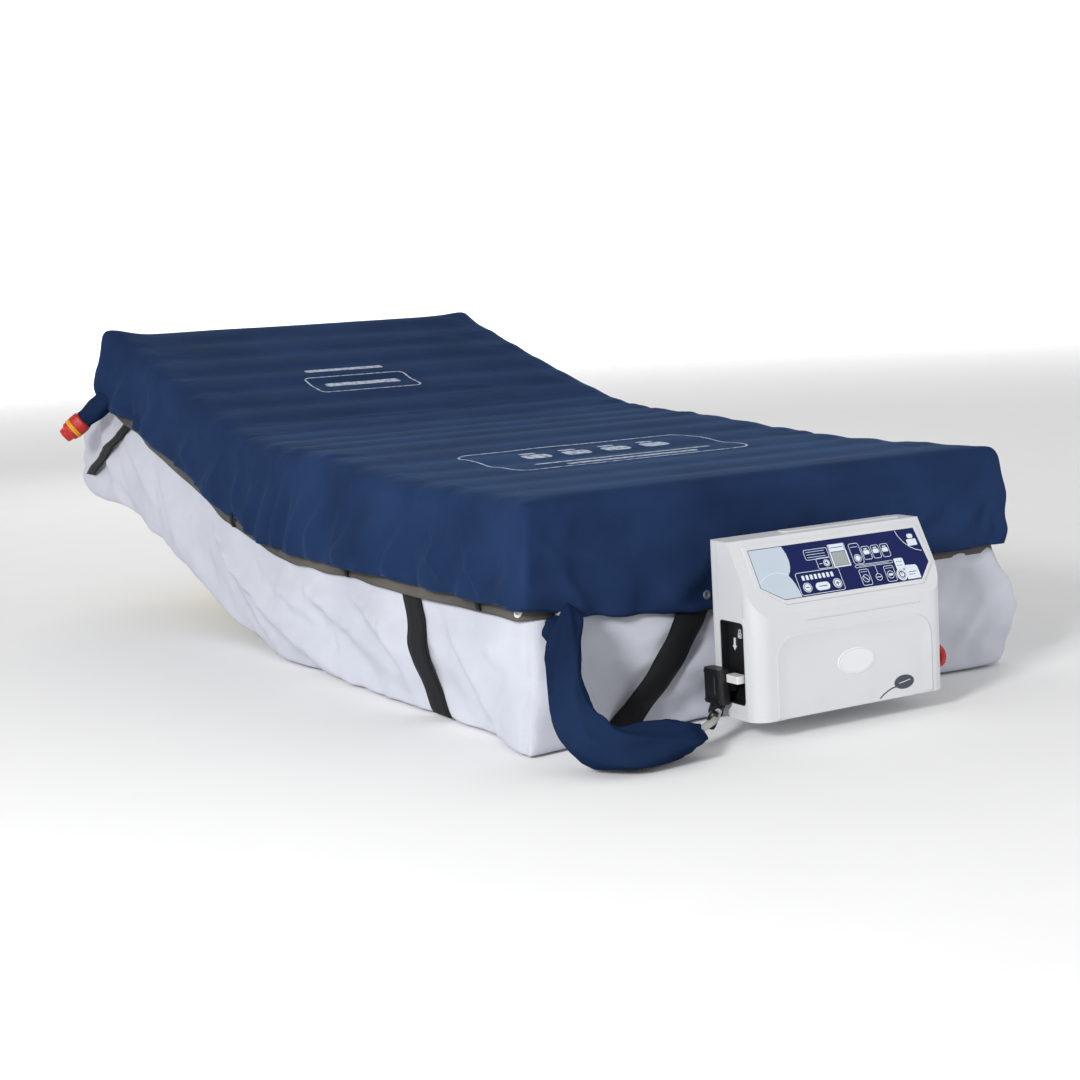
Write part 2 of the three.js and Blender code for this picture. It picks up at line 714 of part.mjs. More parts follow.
addBaseMattress();
addOverlayFabric();
addAirCells();
addAirLine();
addStraps();
addCprValve();
addHose();
addPumpCase();
addControlPanel();
addPumpInside();
addPumpFittings();
addConnector();

const part = new THREE.Group();
part.add(mattress);

export default part;
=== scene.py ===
"""Looks of the pressure relief mattress: cover, sheet, straps, hose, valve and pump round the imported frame.

Metres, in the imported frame: X runs across the bed, Y from the foot to the head, Z up from the bed surface.
A point of the mattress is first given as it would lie flat, (x, s, h) with s along the bed and h above it,
and mattress_point() then carries it through the bend under the raised head section.
"""

import math

import bmesh
import bpy
import numpy as np
from mathutils import Matrix, Vector, noise
from mathutils.bvhtree import BVHTree


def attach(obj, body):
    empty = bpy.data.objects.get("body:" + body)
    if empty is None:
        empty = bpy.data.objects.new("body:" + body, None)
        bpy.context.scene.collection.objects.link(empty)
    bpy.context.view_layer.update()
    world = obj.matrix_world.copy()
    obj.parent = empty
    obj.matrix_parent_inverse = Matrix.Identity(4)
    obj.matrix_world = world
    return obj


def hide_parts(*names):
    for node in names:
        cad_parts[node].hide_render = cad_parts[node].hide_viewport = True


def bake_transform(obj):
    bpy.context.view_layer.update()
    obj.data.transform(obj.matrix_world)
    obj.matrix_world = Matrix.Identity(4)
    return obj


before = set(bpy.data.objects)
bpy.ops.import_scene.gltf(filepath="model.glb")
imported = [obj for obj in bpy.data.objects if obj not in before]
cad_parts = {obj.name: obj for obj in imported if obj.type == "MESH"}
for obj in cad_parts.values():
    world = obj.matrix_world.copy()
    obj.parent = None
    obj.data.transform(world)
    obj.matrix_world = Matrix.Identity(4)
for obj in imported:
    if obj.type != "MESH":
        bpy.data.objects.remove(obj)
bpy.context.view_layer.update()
MM = 0.001

# Driving dimensions, as in the CAD
FLAT_TO_ROW = 0.58
FOOT = FLAT_TO_ROW - 1.0
HEAD = FLAT_TO_ROW + 1.0
BEND_START = FLAT_TO_ROW - 0.175
BEND_LENGTH = 0.45
BACKREST = math.radians(16)
BEND_RADIUS = BEND_LENGTH / BACKREST
BASE_HALF_WIDTH = 0.44
BASE_FOOT = FLAT_TO_ROW - 0.99
BASE_HEAD = FLAT_TO_ROW + 1.08
BASE_TOP = 0.222
COVER_HALF_WIDTH = 0.45
COVER_TOP = 0.366
COVER_HEM = 0.212
CELL_COUNT = 17
CELL_PITCH = (HEAD - FOOT - 0.007) / CELL_COUNT
CELL_BOTTOM = 0.225
FOLD_GAIN = 1.35  # how much higher a placed fold starts, before the cloth settles


# Meshes -------------------------------------------------------------------------------------------


def mesh_object(name, points, faces, smooth=True):
    mesh = bpy.data.meshes.new(name)
    mesh.from_pydata([tuple(p) for p in points], [], [tuple(f) for f in faces])
    mesh.validate()
    mesh.update()
    obj = bpy.data.objects.new(name, mesh)
    bpy.context.scene.collection.objects.link(obj)
    if smooth:
        mesh.polygons.foreach_set("use_smooth", [True] * len(mesh.polygons))
    return obj


def ring_faces(rings, sides):
    """Quads between neighbouring rings of points round a tube."""
    faces = []
    for i in range(rings - 1):
        for k in range(sides):
            nxt = (k + 1) % sides
            faces.append((i * sides + k, i * sides + nxt, (i + 1) * sides + nxt, (i + 1) * sides + k))
    return faces


def end_caps(rings, sides):
    return [tuple(range(sides))[::-1], tuple(range((rings - 1) * sides, rings * sides))]


def turn_outward(obj, close=False):
    """Makes all normals agree, after filling the open ends if asked."""
    bm = bmesh.new()
    bm.from_mesh(obj.data)
    if close:
        bmesh.ops.holes_fill(bm, edges=bm.edges, sides=0)
    bmesh.ops.recalc_face_normals(bm, faces=bm.faces)
    bm.to_mesh(obj.data)
    bm.free()


def points_of(mesh):
    flat = np.zeros(len(mesh.vertices) * 3, np.float32)
    mesh.vertices.foreach_get("co", flat)
    return flat.reshape(-1, 3).astype(float)


def set_points(mesh, points):
    mesh.vertices.foreach_set("co", np.asarray(points, np.float32).ravel())
    mesh.update()


def apply_modifiers(obj):
    """The object's mesh becomes what its modifiers show."""
    graph = bpy.context.evaluated_depsgraph_get()
    made = bpy.data.meshes.new_from_object(obj.evaluated_get(graph), preserve_all_data_layers=True, depsgraph=graph)
    old = obj.data
    obj.modifiers.clear()
    obj.data = made
    made.name = obj.name
    bpy.data.meshes.remove(old)


def solidify(obj, thickness, levels=0, offset=-1.0):
    if levels:
        subdivision = obj.modifiers.new("Subdivision", "SUBSURF")
        subdivision.levels = subdivision.render_levels = levels
    wall = obj.modifiers.new("Solidify", "SOLIDIFY")
    wall.thickness = thickness
    wall.offset = offset
    apply_modifiers(obj)


def smoothstep(low, high, value):
    t = np.clip((value - low) / (high - low), 0, 1)
    return t * t * (3 - 2 * t)


def wave(points, scale, seed):
    """Smooth noise from -1 to 1 at each point, with a scale for each axis."""
    scaled = np.asarray(points) * np.asarray(scale) + seed
    return np.array([noise.noise(Vector(p)) for p in scaled])


def creases(points, scale, seed, width=0.09):
    """Thin crests, up to 1, that run where smooth noise passes through zero."""
    return np.exp(-((wave(points, scale, seed) / width) ** 2))


def fold_lines(u, v, lines):
    """Sharp crests on a surface with u along it and v down it; lines are ((u, v), (u, v), width, height)."""
    height = np.zeros(len(u))
    for (u0, v0), (u1, v1), width, rise in lines:
        along = np.array([u1 - u0, v1 - v0])
        length = float(np.hypot(*along))
        along /= length
        run = ((u - u0) * along[0] + (v - v0) * along[1]) / length
        off = (v - v0) * along[0] - (u - u0) * along[1]
        spread = width * (0.45 + 0.75 * np.clip(run, 0, 1))
        ends = smoothstep(-0.10, 0.22, run) * (1 - smoothstep(0.75, 1.15, run))
        # one flank is steep and the other runs out slowly
        flank = np.where(off > 0, np.exp(-off / spread), np.exp(-((off / (0.45 * spread)) ** 2)))
        height += FOLD_GAIN * rise * ends * flank
    return height


def mattress_point(flat):
    """Where points (x, s, h) of the flat mattress lie with the head section raised."""
    x, s, h = np.asarray(flat, float).T
    angle = np.clip((s - BEND_START) / BEND_RADIUS, 0, BACKREST)
    past = np.maximum(s - BEND_START - BEND_LENGTH, 0)
    radius = BEND_RADIUS - h
    y = np.minimum(s, BEND_START) + radius * np.sin(angle) + past * np.cos(angle)
    z = BEND_RADIUS - radius * np.cos(angle) + past * np.sin(angle)
    return np.stack([x, y, z], axis=1)


def lid(half, foot, head, top, rows, pitch, radius):
    """A sheet over a rounded box: flat points (x, s, h), faces, unfolded places (u, v) and depth down the side.

    rows are (drop below the top, inset from the side) pairs down the skirt."""
    across = round(2 * half / pitch)
    along = round((head - foot) / pitch)
    xs = np.linspace(-half, half, across + 1)
    ss = np.linspace(foot, head, along + 1)
    grid_x, grid_s = np.meshgrid(xs, ss)
    points = np.stack([grid_x.ravel(), grid_s.ravel(), np.full(grid_x.size, top)], axis=1)
    unfolded = points[:, :2].copy()
    at = lambda i, j: j * (across + 1) + i
    faces = [
        (at(i, j), at(i + 1, j), at(i + 1, j + 1), at(i, j + 1))
        for j in range(along)
        for i in range(across)
    ]
    loop = [at(i, 0) for i in range(across)]
    loop += [at(across, j) for j in range(along)]
    loop += [at(i, along) for i in range(across, 0, -1)]
    loop += [at(0, j) for j in range(along, 0, -1)]
    rim = points[loop]
    outward = np.stack(
        [
            np.where(np.isclose(np.abs(rim[:, 0]), half), np.sign(rim[:, 0]), 0),
            np.where(np.isclose(rim[:, 1], foot), -1.0, np.where(np.isclose(rim[:, 1], head), 1.0, 0)),
        ],
        axis=1,
    )
    depth = [np.zeros(len(points))]
    previous = loop
    count = len(points)
    for drop, inset in rows:
        row = rim.copy()
        row[:, 2] = top - drop
        row[:, :2] -= outward * inset
        points = np.vstack([points, row])
        unfolded = np.vstack([unfolded, rim[:, :2] + outward * (drop + inset)])
        depth.append(np.full(len(row), drop + inset))
        current = list(range(count, count + len(loop)))
        for k in range(len(loop)):
            nxt = (k + 1) % len(loop)
            faces.append((previous[nxt], previous[k], current[k], current[nxt]))
        previous = current
        count += len(loop)
    inner = np.stack(
        [
            np.clip(points[:, 0], -half + radius, half - radius),
            np.clip(points[:, 1], foot + radius, head - radius),
            np.minimum(points[:, 2], top - radius),
        ],
        axis=1,
    )
    away = points - inner
    length = np.linalg.norm(away, axis=1, keepdims=True)
    upper = length[:, 0] > 1e-9
    rounded = points.copy()
    rounded[upper] = inner[upper] + away[upper] * np.where(length[upper] > radius, radius / length[upper], 1)
    return rounded, faces, unfolded, np.concatenate(depth)


def store_unfolded(obj, unfolded):
    """Keeps the unfolded places as a UV map, in metres, for the weave and the printed marks."""
    layer = obj.data.uv_layers.new(name="flat")
    corners = np.zeros(len(obj.data.loops), np.int32)
    obj.data.loops.foreach_get("vertex_index", corners)
    layer.data.foreach_set("uv", unfolded[corners].astype(np.float32).ravel())


def weights(obj, name, values):
    group = obj.vertex_groups.new(name=name)
    for index, value in enumerate(values):
        if value > 0:
            group.add([index], float(value), "REPLACE")
    return name


def drape(obj, body, pinned, slack, slack_weight, cap, frames, pressure=0.0, gravity=1.0):
    """Lets the sheet settle on a body as cloth, then keeps each point within cap of where it began."""
    start = points_of(obj.data)
    collision = body.modifiers.new("Collision", "COLLISION")
    body.collision.thickness_outer = 0.003
    body.collision.cloth_friction = 15
    cloth = obj.modifiers.new("Cloth", "CLOTH")
    settings = cloth.settings
    settings.quality = 6
    settings.mass = 0.25
    settings.tension_stiffness = 25
    settings.compression_stiffness = 25
    settings.shear_stiffness = 8
    settings.bending_stiffness = 0.3
    settings.air_damping = 2
    settings.effector_weights.gravity = gravity
    settings.vertex_group_mass = weights(obj, "pinned", pinned)
    settings.vertex_group_shrink = weights(obj, "slack", slack_weight)
    settings.shrink_min = 0
    settings.shrink_max = -slack
    if pressure:
        settings.use_pressure = True
        settings.uniform_pressure_force = pressure
    cloth.collision_settings.distance_min = 0.003
    cloth.collision_settings.collision_quality = 3
    cloth.point_cache.frame_start = 1
    cloth.point_cache.frame_end = frames
    scene = bpy.context.scene
    for number in range(1, frames + 1):
        scene.frame_set(number)
    graph = bpy.context.evaluated_depsgraph_get()
    settled = points_of(obj.evaluated_get(graph).data)
    obj.modifiers.clear()
    obj.vertex_groups.clear()
    scene.frame_set(1)
    body.modifiers.remove(collision)
    moved = settled - start
    length = np.linalg.norm(moved, axis=1, keepdims=True)
    set_points(obj.data, start + moved * np.minimum(1, cap / np.maximum(length, 1e-9)))


# Materials ----------------------------------------------------------------------------------------


def linear(red, green, blue):
    """A colour given as 0 to 255 on screen, as the shader's linear numbers."""
    return tuple(
        (c / 255 / 12.92 if c / 255 <= 0.04045 else ((c / 255 + 0.055) / 1.055) ** 2.4) for c in (red, green, blue)
    ) + (1.0,)


class Shader:
    """A Principled material with helpers for its nodes."""

    def __init__(self, name, roughness=0.5, **sockets):
        self.material = bpy.data.materials.new(name)
        self.material.use_nodes = True
        self.tree = self.material.node_tree
        self.bsdf = self.tree.nodes["Principled BSDF"]
        self.bsdf.inputs["Roughness"].default_value = roughness
        for socket, value in sockets.items():
            self.bsdf.inputs[socket.replace("_", " ")].default_value = value

    def node(self, kind, **values):
        made = self.tree.nodes.new(kind)
        for key, value in values.items():
            if key in made.inputs:
                made.inputs[key].default_value = value
            else:
                setattr(made, key, value)
        return made

    def link(self, source, target):
        self.tree.links.new(source, target)

    def coordinates(self, uv=None):
        if uv:
            return self.node("ShaderNodeUVMap", uv_map=uv).outputs["UV"]
        return self.node("ShaderNodeTexCoord").outputs["Object"]

    def noise(self, where, scale, detail=3.0, stretch=None, rough=0.5):
        if stretch:
            mapping = self.node("ShaderNodeMapping")
            mapping.inputs["Scale"].default_value = stretch
            self.link(where, mapping.inputs["Vector"])
            where = mapping.outputs["Vector"]
        made = self.node("ShaderNodeTexNoise", Scale=scale, Detail=detail, Roughness=rough)
        self.link(where, made.inputs["Vector"])
        return made.outputs["Fac"]

    def stripes(self, where, scale, direction="X"):
        made = self.node("ShaderNodeTexWave", Scale=scale, bands_direction=direction, wave_type="BANDS")
        self.link(where, made.inputs["Vector"])
        return made.outputs["Fac"]

    def ramp(self, value, low, high, start=0.3, end=0.7):
        made = self.node("ShaderNodeValToRGB")
        made.color_ramp.elements[0].position = start
        made.color_ramp.elements[0].color = low
        made.color_ramp.elements[1].position = end
        made.color_ramp.elements[1].color = high
        self.link(value, made.inputs["Fac"])
        return made.outputs["Color"]

    def math(self, operation, first, second=None):
        made = self.node("ShaderNodeMath", operation=operation)
        for index, value in enumerate((first, second)):
            if value is None:
                continue
            if isinstance(value, (int, float)):
                made.inputs[index].default_value = value
            else:
                self.link(value, made.inputs[index])
        return made.outputs["Value"]

    def mix(self, share, first, second):
        made = self.node("ShaderNodeMix", data_type="RGBA")
        self.link(share, made.inputs["Factor"])
        for socket, value in ((made.inputs["A"], first), (made.inputs["B"], second)):
            if isinstance(value, tuple):
                socket.default_value = value
            else:
                self.link(value, socket)
        return made.outputs["Result"]

    def colour(self, value):
        if isinstance(value, tuple):
            self.bsdf.inputs["Base Color"].default_value = value
        else:
            self.link(value, self.bsdf.inputs["Base Color"])

    def roughness(self, value, low, high):
        made = self.node("ShaderNodeMapRange")
        made.inputs["To Min"].default_value = low
        made.inputs["To Max"].default_value = high
        self.link(value, made.inputs["Value"])
        self.link(made.outputs["Result"], self.bsdf.inputs["Roughness"])

    def bump(self, *layers):
        """Bump from (height, distance in metres, strength) layers."""
        normal = None
        for height, distance, strength in layers:
            made = self.node("ShaderNodeBump", Strength=strength, Distance=distance)
            self.link(height, made.inputs["Height"])
            if normal is not None:
                self.link(normal, made.inputs["Normal"])
            normal = made.outputs["Normal"]
        self.link(normal, self.bsdf.inputs["Normal"])


def fabric(name, dark, light, roughness, thread, crumple, specular=0.3, uv="flat"):
    """Woven cloth: two sets of threads, fine creases and a slow change of colour."""
    shader = Shader(name, roughness)
    where = shader.coordinates(uv)
    shader.bsdf.inputs["Specular IOR Level"].default_value = specular
    shade = shader.noise(where, 5.0, 4.0)
    shader.colour(shader.ramp(shade, dark, light))
    warp = shader.stripes(where, 1 / thread / 20, "X")
    weft = shader.stripes(where, 1 / thread / 20, "Y")
    weave = shader.math("MAXIMUM", warp, weft)
    fine = shader.noise(where, 26.0, 6.0, rough=0.62)
    shader.bump((weave, 0.00025, 0.35), (fine, crumple, 0.5))
    shader.roughness(shade, roughness - 0.06, roughness + 0.06)
    return shader


def moulded(name, colour, roughness, grain=0.00004, scale=900.0, tint=0.94, **sockets):
    """Moulded plastic with a fine spark-eroded grain."""
    shader = Shader(name, roughness, **sockets)
    where = shader.coordinates()
    shade = shader.noise(where, 6.0, 3.0)
    darker = tuple(c * tint for c in colour[:3]) + (1.0,)
    shader.colour(shader.ramp(shade, darker, colour, 0.3, 0.65))
    shader.bump((shader.noise(where, scale, 2.0), grain, 0.6))
    shader.roughness(shade, max(roughness - 0.05, 0.02), roughness + 0.05)
    return shader


def paint(obj, shader):
    """One material over the whole object."""
    material = shader.material if isinstance(shader, Shader) else shader
    if len(obj.data.materials) == 0:
        obj.data.materials.append(material)
    for slot in obj.material_slots:
        slot.material = material
    if hasattr(obj.data, "polygons"):
        obj.data.polygons.foreach_set("material_index", [0] * len(obj.data.polygons))


NAVY_DARK = linear(29, 44, 74)
NAVY_LIGHT = linear(37, 56, 92)
PRINT_GREY = linear(190, 198, 210)


def frame_mask(shader, where, middle, half, radius, line):
    """1 on a line of the given width round a rounded rectangle, in the unfolded cover's metres."""
    parts = shader.node("ShaderNodeSeparateXYZ")
    shader.link(where, parts.inputs["Vector"])
    beyond = []
    for axis, centre, reach in (("X", middle[0], half[0]), ("Y", middle[1], half[1])):
        off = shader.math("ABSOLUTE", shader.math("SUBTRACT", parts.outputs[axis], centre))
        beyond.append(shader.math("SUBTRACT", off, reach - radius))
    outside = [shader.math("POWER", shader.math("MAXIMUM", value, 0.0), 2.0) for value in beyond]
    corner = shader.math("SQRT", shader.math("ADD", *outside))
    inside = shader.math("MINIMUM", shader.math("MAXIMUM", *beyond), 0.0)
    distance = shader.math("SUBTRACT", shader.math("ADD", corner, inside), radius)
    if line is None:
        return shader.math("LESS_THAN", distance, 0.0)
    return shader.math("LESS_THAN", shader.math("ABSOLUTE", distance), line / 2)


def cover_shader():
    """Coated navy nylon with its printed frames and marks, laid out on the unfolded cover."""
    shader = fabric("cover_nylon", NAVY_DARK, NAVY_LIGHT, 0.7, 0.0006, 0.0022, specular=0.003)
    shader.bsdf.inputs["Sheen Weight"].default_value = 0.09
    shader.bsdf.inputs["Sheen Roughness"].default_value = 0.35
    shader.bsdf.inputs["Sheen Tint"].default_value = (0.32, 0.58, 1.0, 1.0)
    where = shader.coordinates("flat")
    marks = [
        ((-0.045, 1.105), (0.115, 0.052), 0.014, 0.004),
        ((-0.045, 1.105), (0.085, 0.012), 0.006, None),
        ((-0.045, 1.205), (0.09, 0.010), 0.005, None),
        ((-0.01, 0.075), (0.235, 0.115), 0.03, 0.004),
        ((-0.01, 0.010), (0.175, 0.006), 0.004, None),
        ((-0.01, -0.020), (0.13, 0.006), 0.004, None),
    ]
    for x in (-0.13, -0.05, 0.03, 0.11):
        marks.append(((x, 0.10), (0.026, 0.018), 0.012, None))
        marks.append(((x, 0.135), (0.016, 0.008), 0.006, None))
    total = None
    for mark in marks:
        mask = frame_mask(shader, where, *mark)
        total = mask if total is None else shader.math("MAXIMUM", total, mask)
    worn = shader.ramp(shader.noise(where, 90.0, 2.0), linear(120, 134, 156), PRINT_GREY, 0.35, 0.55)
    cloth = shader.bsdf.inputs["Base Color"].links[0].from_socket
    shader.colour(shader.mix(total, cloth, worn))
    return shader


cover_nylon = cover_shader()
navy_cloth = fabric("sleeve_nylon", linear(22, 35, 60), linear(30, 46, 76), 0.7, 0.0006, 0.0018, 0.0, None)
cotton = fabric("white_cotton", linear(188, 191, 202), linear(202, 205, 215), 0.88, 0.0007, 0.003, 0.1)
tray_cloth = fabric("grey_nylon", linear(70, 68, 66), linear(98, 94, 90), 0.75, 0.0007, 0.0015, 0.2)
foam_cells = Shader("foam", 0.95)
foam_place = foam_cells.coordinates()
foam_cells.colour(foam_cells.ramp(foam_cells.noise(foam_place, 180, 4), linear(205, 193, 140), linear(226, 216, 170)))
foam_cells.bump((foam_cells.noise(foam_place, 500, 3), 0.0006, 0.8))
cell_cloth = fabric("cell_nylon", linear(96, 108, 130), linear(120, 133, 155), 0.5, 0.0008, 0.0012, 0.3, None)
webbing = fabric("webbing", linear(12, 12, 14), linear(24, 25, 28), 0.7, 0.0011, 0.0006, 0.2)
shell_white = moulded("shell_white", linear(208, 210, 213), 0.38)
panel_navy = moulded("panel_navy", linear(19, 30, 84), 0.4, 0.00003, 500.0, 0.9, **{"Specular IOR Level": 0.15})
print_white = moulded("print_white", linear(216, 225, 235), 0.4)
print_grey = moulded("print_grey", linear(188, 200, 212), 0.45)
badge_white = moulded("badge_white", linear(222, 224, 226), 0.3)
black_plastic = moulded("black_plastic", linear(19, 20, 23), 0.42, 0.00006, 700.0)
dark_label = moulded("dark_label", linear(58, 66, 76), 0.4)
red_plastic = moulded("red_plastic", linear(190, 32, 20), 0.34, tint=0.85)
yellow_plastic = moulded("yellow_plastic", linear(232, 160, 30), 0.36)
rubber = moulded("foot_rubber", linear(196, 196, 192), 0.75)
cast_metal = moulded("cast_metal", linear(168, 170, 172), 0.4, 0.0002, 300.0, Metallic=1.0)
board_green = moulded("board_green", linear(30, 104, 58), 0.45)
lcd_glass = moulded("lcd_grey", linear(158, 163, 163), 0.2, 0.00001)
snap_white = moulded("snap_white", linear(225, 225, 222), 0.35)
snap_grey = moulded("snap_grey", linear(96, 102, 116), 0.4)
clear_pvc = Shader("clear_pvc", 0.18, Transmission_Weight=0.55, IOR=1.45)
pvc_place = clear_pvc.coordinates()
clear_pvc.colour(clear_pvc.ramp(clear_pvc.noise(pvc_place, 40, 3), linear(212, 214, 210), linear(232, 234, 230)))
clear_pvc.bump((clear_pvc.noise(pvc_place, 160, 3), 0.0002, 0.4))


# Camera, lights and floor -------------------------------------------------------------------------

CAMERA_AT = Vector((-1.74, -2.78, 0.66))
YAW, PITCH, ROLL = math.radians(29.2), math.radians(7.5), math.radians(-3.18)


def add_camera():
    forward = Vector((math.sin(YAW) * math.cos(PITCH), math.cos(YAW) * math.cos(PITCH), -math.sin(PITCH)))
    level = Vector((math.cos(YAW), -math.sin(YAW), 0))
    up = level.cross(forward)
    right = level * math.cos(ROLL) + up * math.sin(ROLL)
    up = right.cross(forward)
    camera = bpy.data.objects.new("camera", bpy.data.cameras.new("camera"))
    camera.data.sensor_width = 36
    camera.data.lens = 64.3
    camera.data.clip_start = 0.05
    camera.matrix_world = Matrix(
        (
            (right.x, up.x, -forward.x, CAMERA_AT.x),
            (right.y, up.y, -forward.y, CAMERA_AT.y),
            (right.z, up.z, -forward.z, CAMERA_AT.z),
            (0, 0, 0, 1),
        )
    )
    bpy.context.scene.collection.objects.link(camera)
    bpy.context.scene.camera = camera


def add_light(name, place, target, size, power):
    light = bpy.data.objects.new(name, bpy.data.lights.new(name, "AREA"))
    light.data.energy = power
    light.data.shape = "DISK"
    light.data.size = size
    light.location = place
    light.rotation_mode = "QUATERNION"
    light.rotation_quaternion = (Vector(target) - Vector(place)).to_track_quat("-Z", "Y")
    bpy.context.scene.collection.objects.link(light)


def add_studio():
    middle = (0, 0.4, 0.2)
    add_light("key", (-3.8, -2.4, 2.1), middle, 1.0, 158)
    add_light("fill", (1.4, -3.8, 1.2), middle, 2.4, 22)
    add_light("back", (0.8, 4.2, 2.4), middle, 2.0, 20)
    world = bpy.data.worlds.new("studio")
    bpy.context.scene.world = world
    world.use_nodes = True
    background = world.node_tree.nodes["Background"]
    background.inputs["Color"].default_value = (1, 1, 1, 1)
    background.inputs["Strength"].default_value = 0.46
    size = 14
    floor = mesh_object(
        "floor",
        [(-size, -size, -0.002), (size, -size, -0.002), (size, size, -0.002), (-size, size, -0.002)],
        [(0, 1, 2, 3)],
        smooth=False,
    )
    paint(floor, moulded("floor_white", linear(246, 246, 246), 0.85, 0.0002, 40.0, 0.99))
    # a curved white wall far behind closes the view
    points, faces = [], []
    for k in range(33):
        turn = math.pi * (k / 32 * 1.1 - 0.25)
        for height in (-0.002, 6.0):
            points.append((12 * math.cos(turn), 12 * math.sin(turn), height))
    for k in range(32):
        faces.append((2 * k, 2 * k + 1, 2 * k + 3, 2 * k + 2))
    wall = mesh_object("backdrop", points, faces)
    glow = moulded("backdrop_white", linear(250, 250, 250), 0.9, 0.0002, 4.0, 0.99)
    glow.bsdf.inputs["Emission Color"].default_value = (1, 1, 1, 1)
    glow.bsdf.inputs["Emission Strength"].default_value = 0.7
    paint(wall, glow)
    bpy.context.scene.view_settings.view_transform = "Standard"


add_camera()
add_studio()


# Hose ---------------------------------------------------------------------------------------------

# the line from the overlay's foot end down to the surface and up to the connector, in millimetres from the
# middle of the flat mattress, as in the CAD
HOSE_ROUTE = [
    (-400, -1001, 190),
    (-402, -1022, 187),
    (-412, -1045, 175),
    (-428, -1068, 152),
    (-444, -1092, 122),
    (-453, -1116, 90),
    (-452, -1139, 60),
    (-440, -1158, 40),
    (-415, -1170, 30),
    (-380, -1175, 28),
    (-342, -1172, 28),
    (-306, -1163, 28),
    (-274, -1150, 28),
    (-250, -1137, 28.5),
    (-230, -1125, 30),
    (-218, -1116, 34),
    (-210, -1109.5, 40),
]
SLEEVE_SHARE = 11.7 / (len(HOSE_ROUTE) - 1)
TUBE_DIAMETER = 0.010
TUBE_SPACING = 0.012


def spline(points, count):
    """A smooth line through the points, with count points in even steps of its parameter."""
    points = np.asarray(points, float)
    ends = np.vstack([2 * points[0] - points[1], points, 2 * points[-1] - points[-2]])
    made = []
    for t in np.linspace(0, len(points) - 1, count):
        k = min(int(t), len(points) - 2)
        f = t - k
        a, b, c, d = ends[k : k + 4]
        made.append(
            0.5 * (2 * b + (c - a) * f + (2 * a - 5 * b + 4 * c - d) * f**2 + (3 * b - a - 3 * c + d) * f**3)
        )
    return np.array(made)


def frames_along(line):
    """Two directions square to the line at each point, which turn as little as they can along it."""
    tangents = np.gradient(line, axis=0)
    tangents /= np.linalg.norm(tangents, axis=1, keepdims=True)
    first = np.cross(tangents[0], np.cross(tangents[0], (1.0, 0, 0)))
    normals = [first / np.linalg.norm(first)]
    for tangent in tangents[1:]:
        carried = normals[-1] - tangent * (normals[-1] @ tangent)
        normals.append(carried / np.linalg.norm(carried))
    normals = np.array(normals)
    return normals, np.cross(tangents, normals)


def swept(name, line, section, sides, caps=True):
    """A tube along a line; section(share along, angle) says how far its wall lies along each direction."""
    normals, sideways = frames_along(line)
    points, faces = [], []
    for i, middle in enumerate(line):
        for k in range(sides):
            angle = 2 * math.pi * k / sides
            a, b = section(i / (len(line) - 1), angle)
            points.append(middle + normals[i] * a + sideways[i] * b)
    for i in range(len(line) - 1):
        for k in range(sides):
            nxt = (k + 1) % sides
            faces.append((i * sides + k, (i + 1) * sides + k, (i + 1) * sides + nxt, i * sides + nxt))
    if caps:
        faces.append(tuple(range(sides)))
        faces.append(tuple(range((len(line) - 1) * sides, len(line) * sides))[::-1])
    obj = mesh_object(name, points, faces)
    turn_outward(obj)
    return obj


def round_section(radius):
    return lambda share, angle: (radius * math.cos(angle), radius * math.sin(angle))


HOSE_STEPS = 96
hose_line = spline(np.array(HOSE_ROUTE) * MM + (0, FLAT_TO_ROW, 0), HOSE_STEPS + 1)


def add_hose():
    sideways = frames_along(hose_line)[1]

    # the fabric sleeve: wider than it is thick, with folds that wind slowly round it
    last = round(SLEEVE_SHARE * HOSE_STEPS)

    def sleeve_section(share, angle):
        gather = 1.06 + 0.42 * float(smoothstep(0.25, 0.70, share)) - 0.58 * float(smoothstep(0.90, 1.0, share))
        at_ends = float(smoothstep(0.8, 0.95, share)) + 1 - float(smoothstep(0, 0.12, share))
        ridged = lambda turn: 1 - 2 * abs(math.sin(turn / 2))
        folds = 0.0034 * ridged(3 * angle + 9 * share) + 0.0022 * ridged(5 * angle - 13 * share + 1)
        folds += 0.0018 * math.sin(4 * angle + 21 * share) * math.sin(11 * share)
        pleats = 0.0010 * math.sin(11 * angle) * at_ends
        radius = (0.0255 + folds + pleats) * gather
        twist = 0.9 + 1.0 * share
        wide, thin = 1.16, 0.8
        a, b = radius * wide * math.cos(angle), radius * thin * math.sin(angle)
        return (
            a * math.cos(twist) - b * math.sin(twist),
            a * math.sin(twist) + b * math.cos(twist),
        )

    sleeve = swept("hose_fabric_sleeve", spline(hose_line[: last + 1], 150), sleeve_section, 64, caps=False)
    # pressed flat where it comes out under the overlay, and where it lies on the surface
    points = points_of(sleeve.data)
    under_hem, rest = 0.185, 0.004
    height = points[:, 2]
    start = (points[:, 1] > FOOT - 0.035) & (height > under_hem)
    height = np.where(start, under_hem + 0.35 * (height - under_hem), height)
    height = np.where(height < rest, 0.001 + 0.15 * np.clip(height + 0.016, 0, 0.02), height)
    points[:, 2] = height
    set_points(sleeve.data, points)
    solidify(sleeve, 0.0012, offset=-1)
    paint(sleeve, navy_cloth)
    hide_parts("hose_sleeve")
    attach(sleeve, "root")
    for name, side in (("air_tube_a", -1), ("air_tube_b", 1)):
        line = hose_line + sideways * side * TUBE_SPACING / 2
        tube = swept(name + "_clear", line, round_section(TUBE_DIAMETER / 2), 16)
        paint(tube, clear_pvc)
        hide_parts(name)
        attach(tube, "root")


add_hose()


# Base mattress ------------------------------------------------------------------------------------


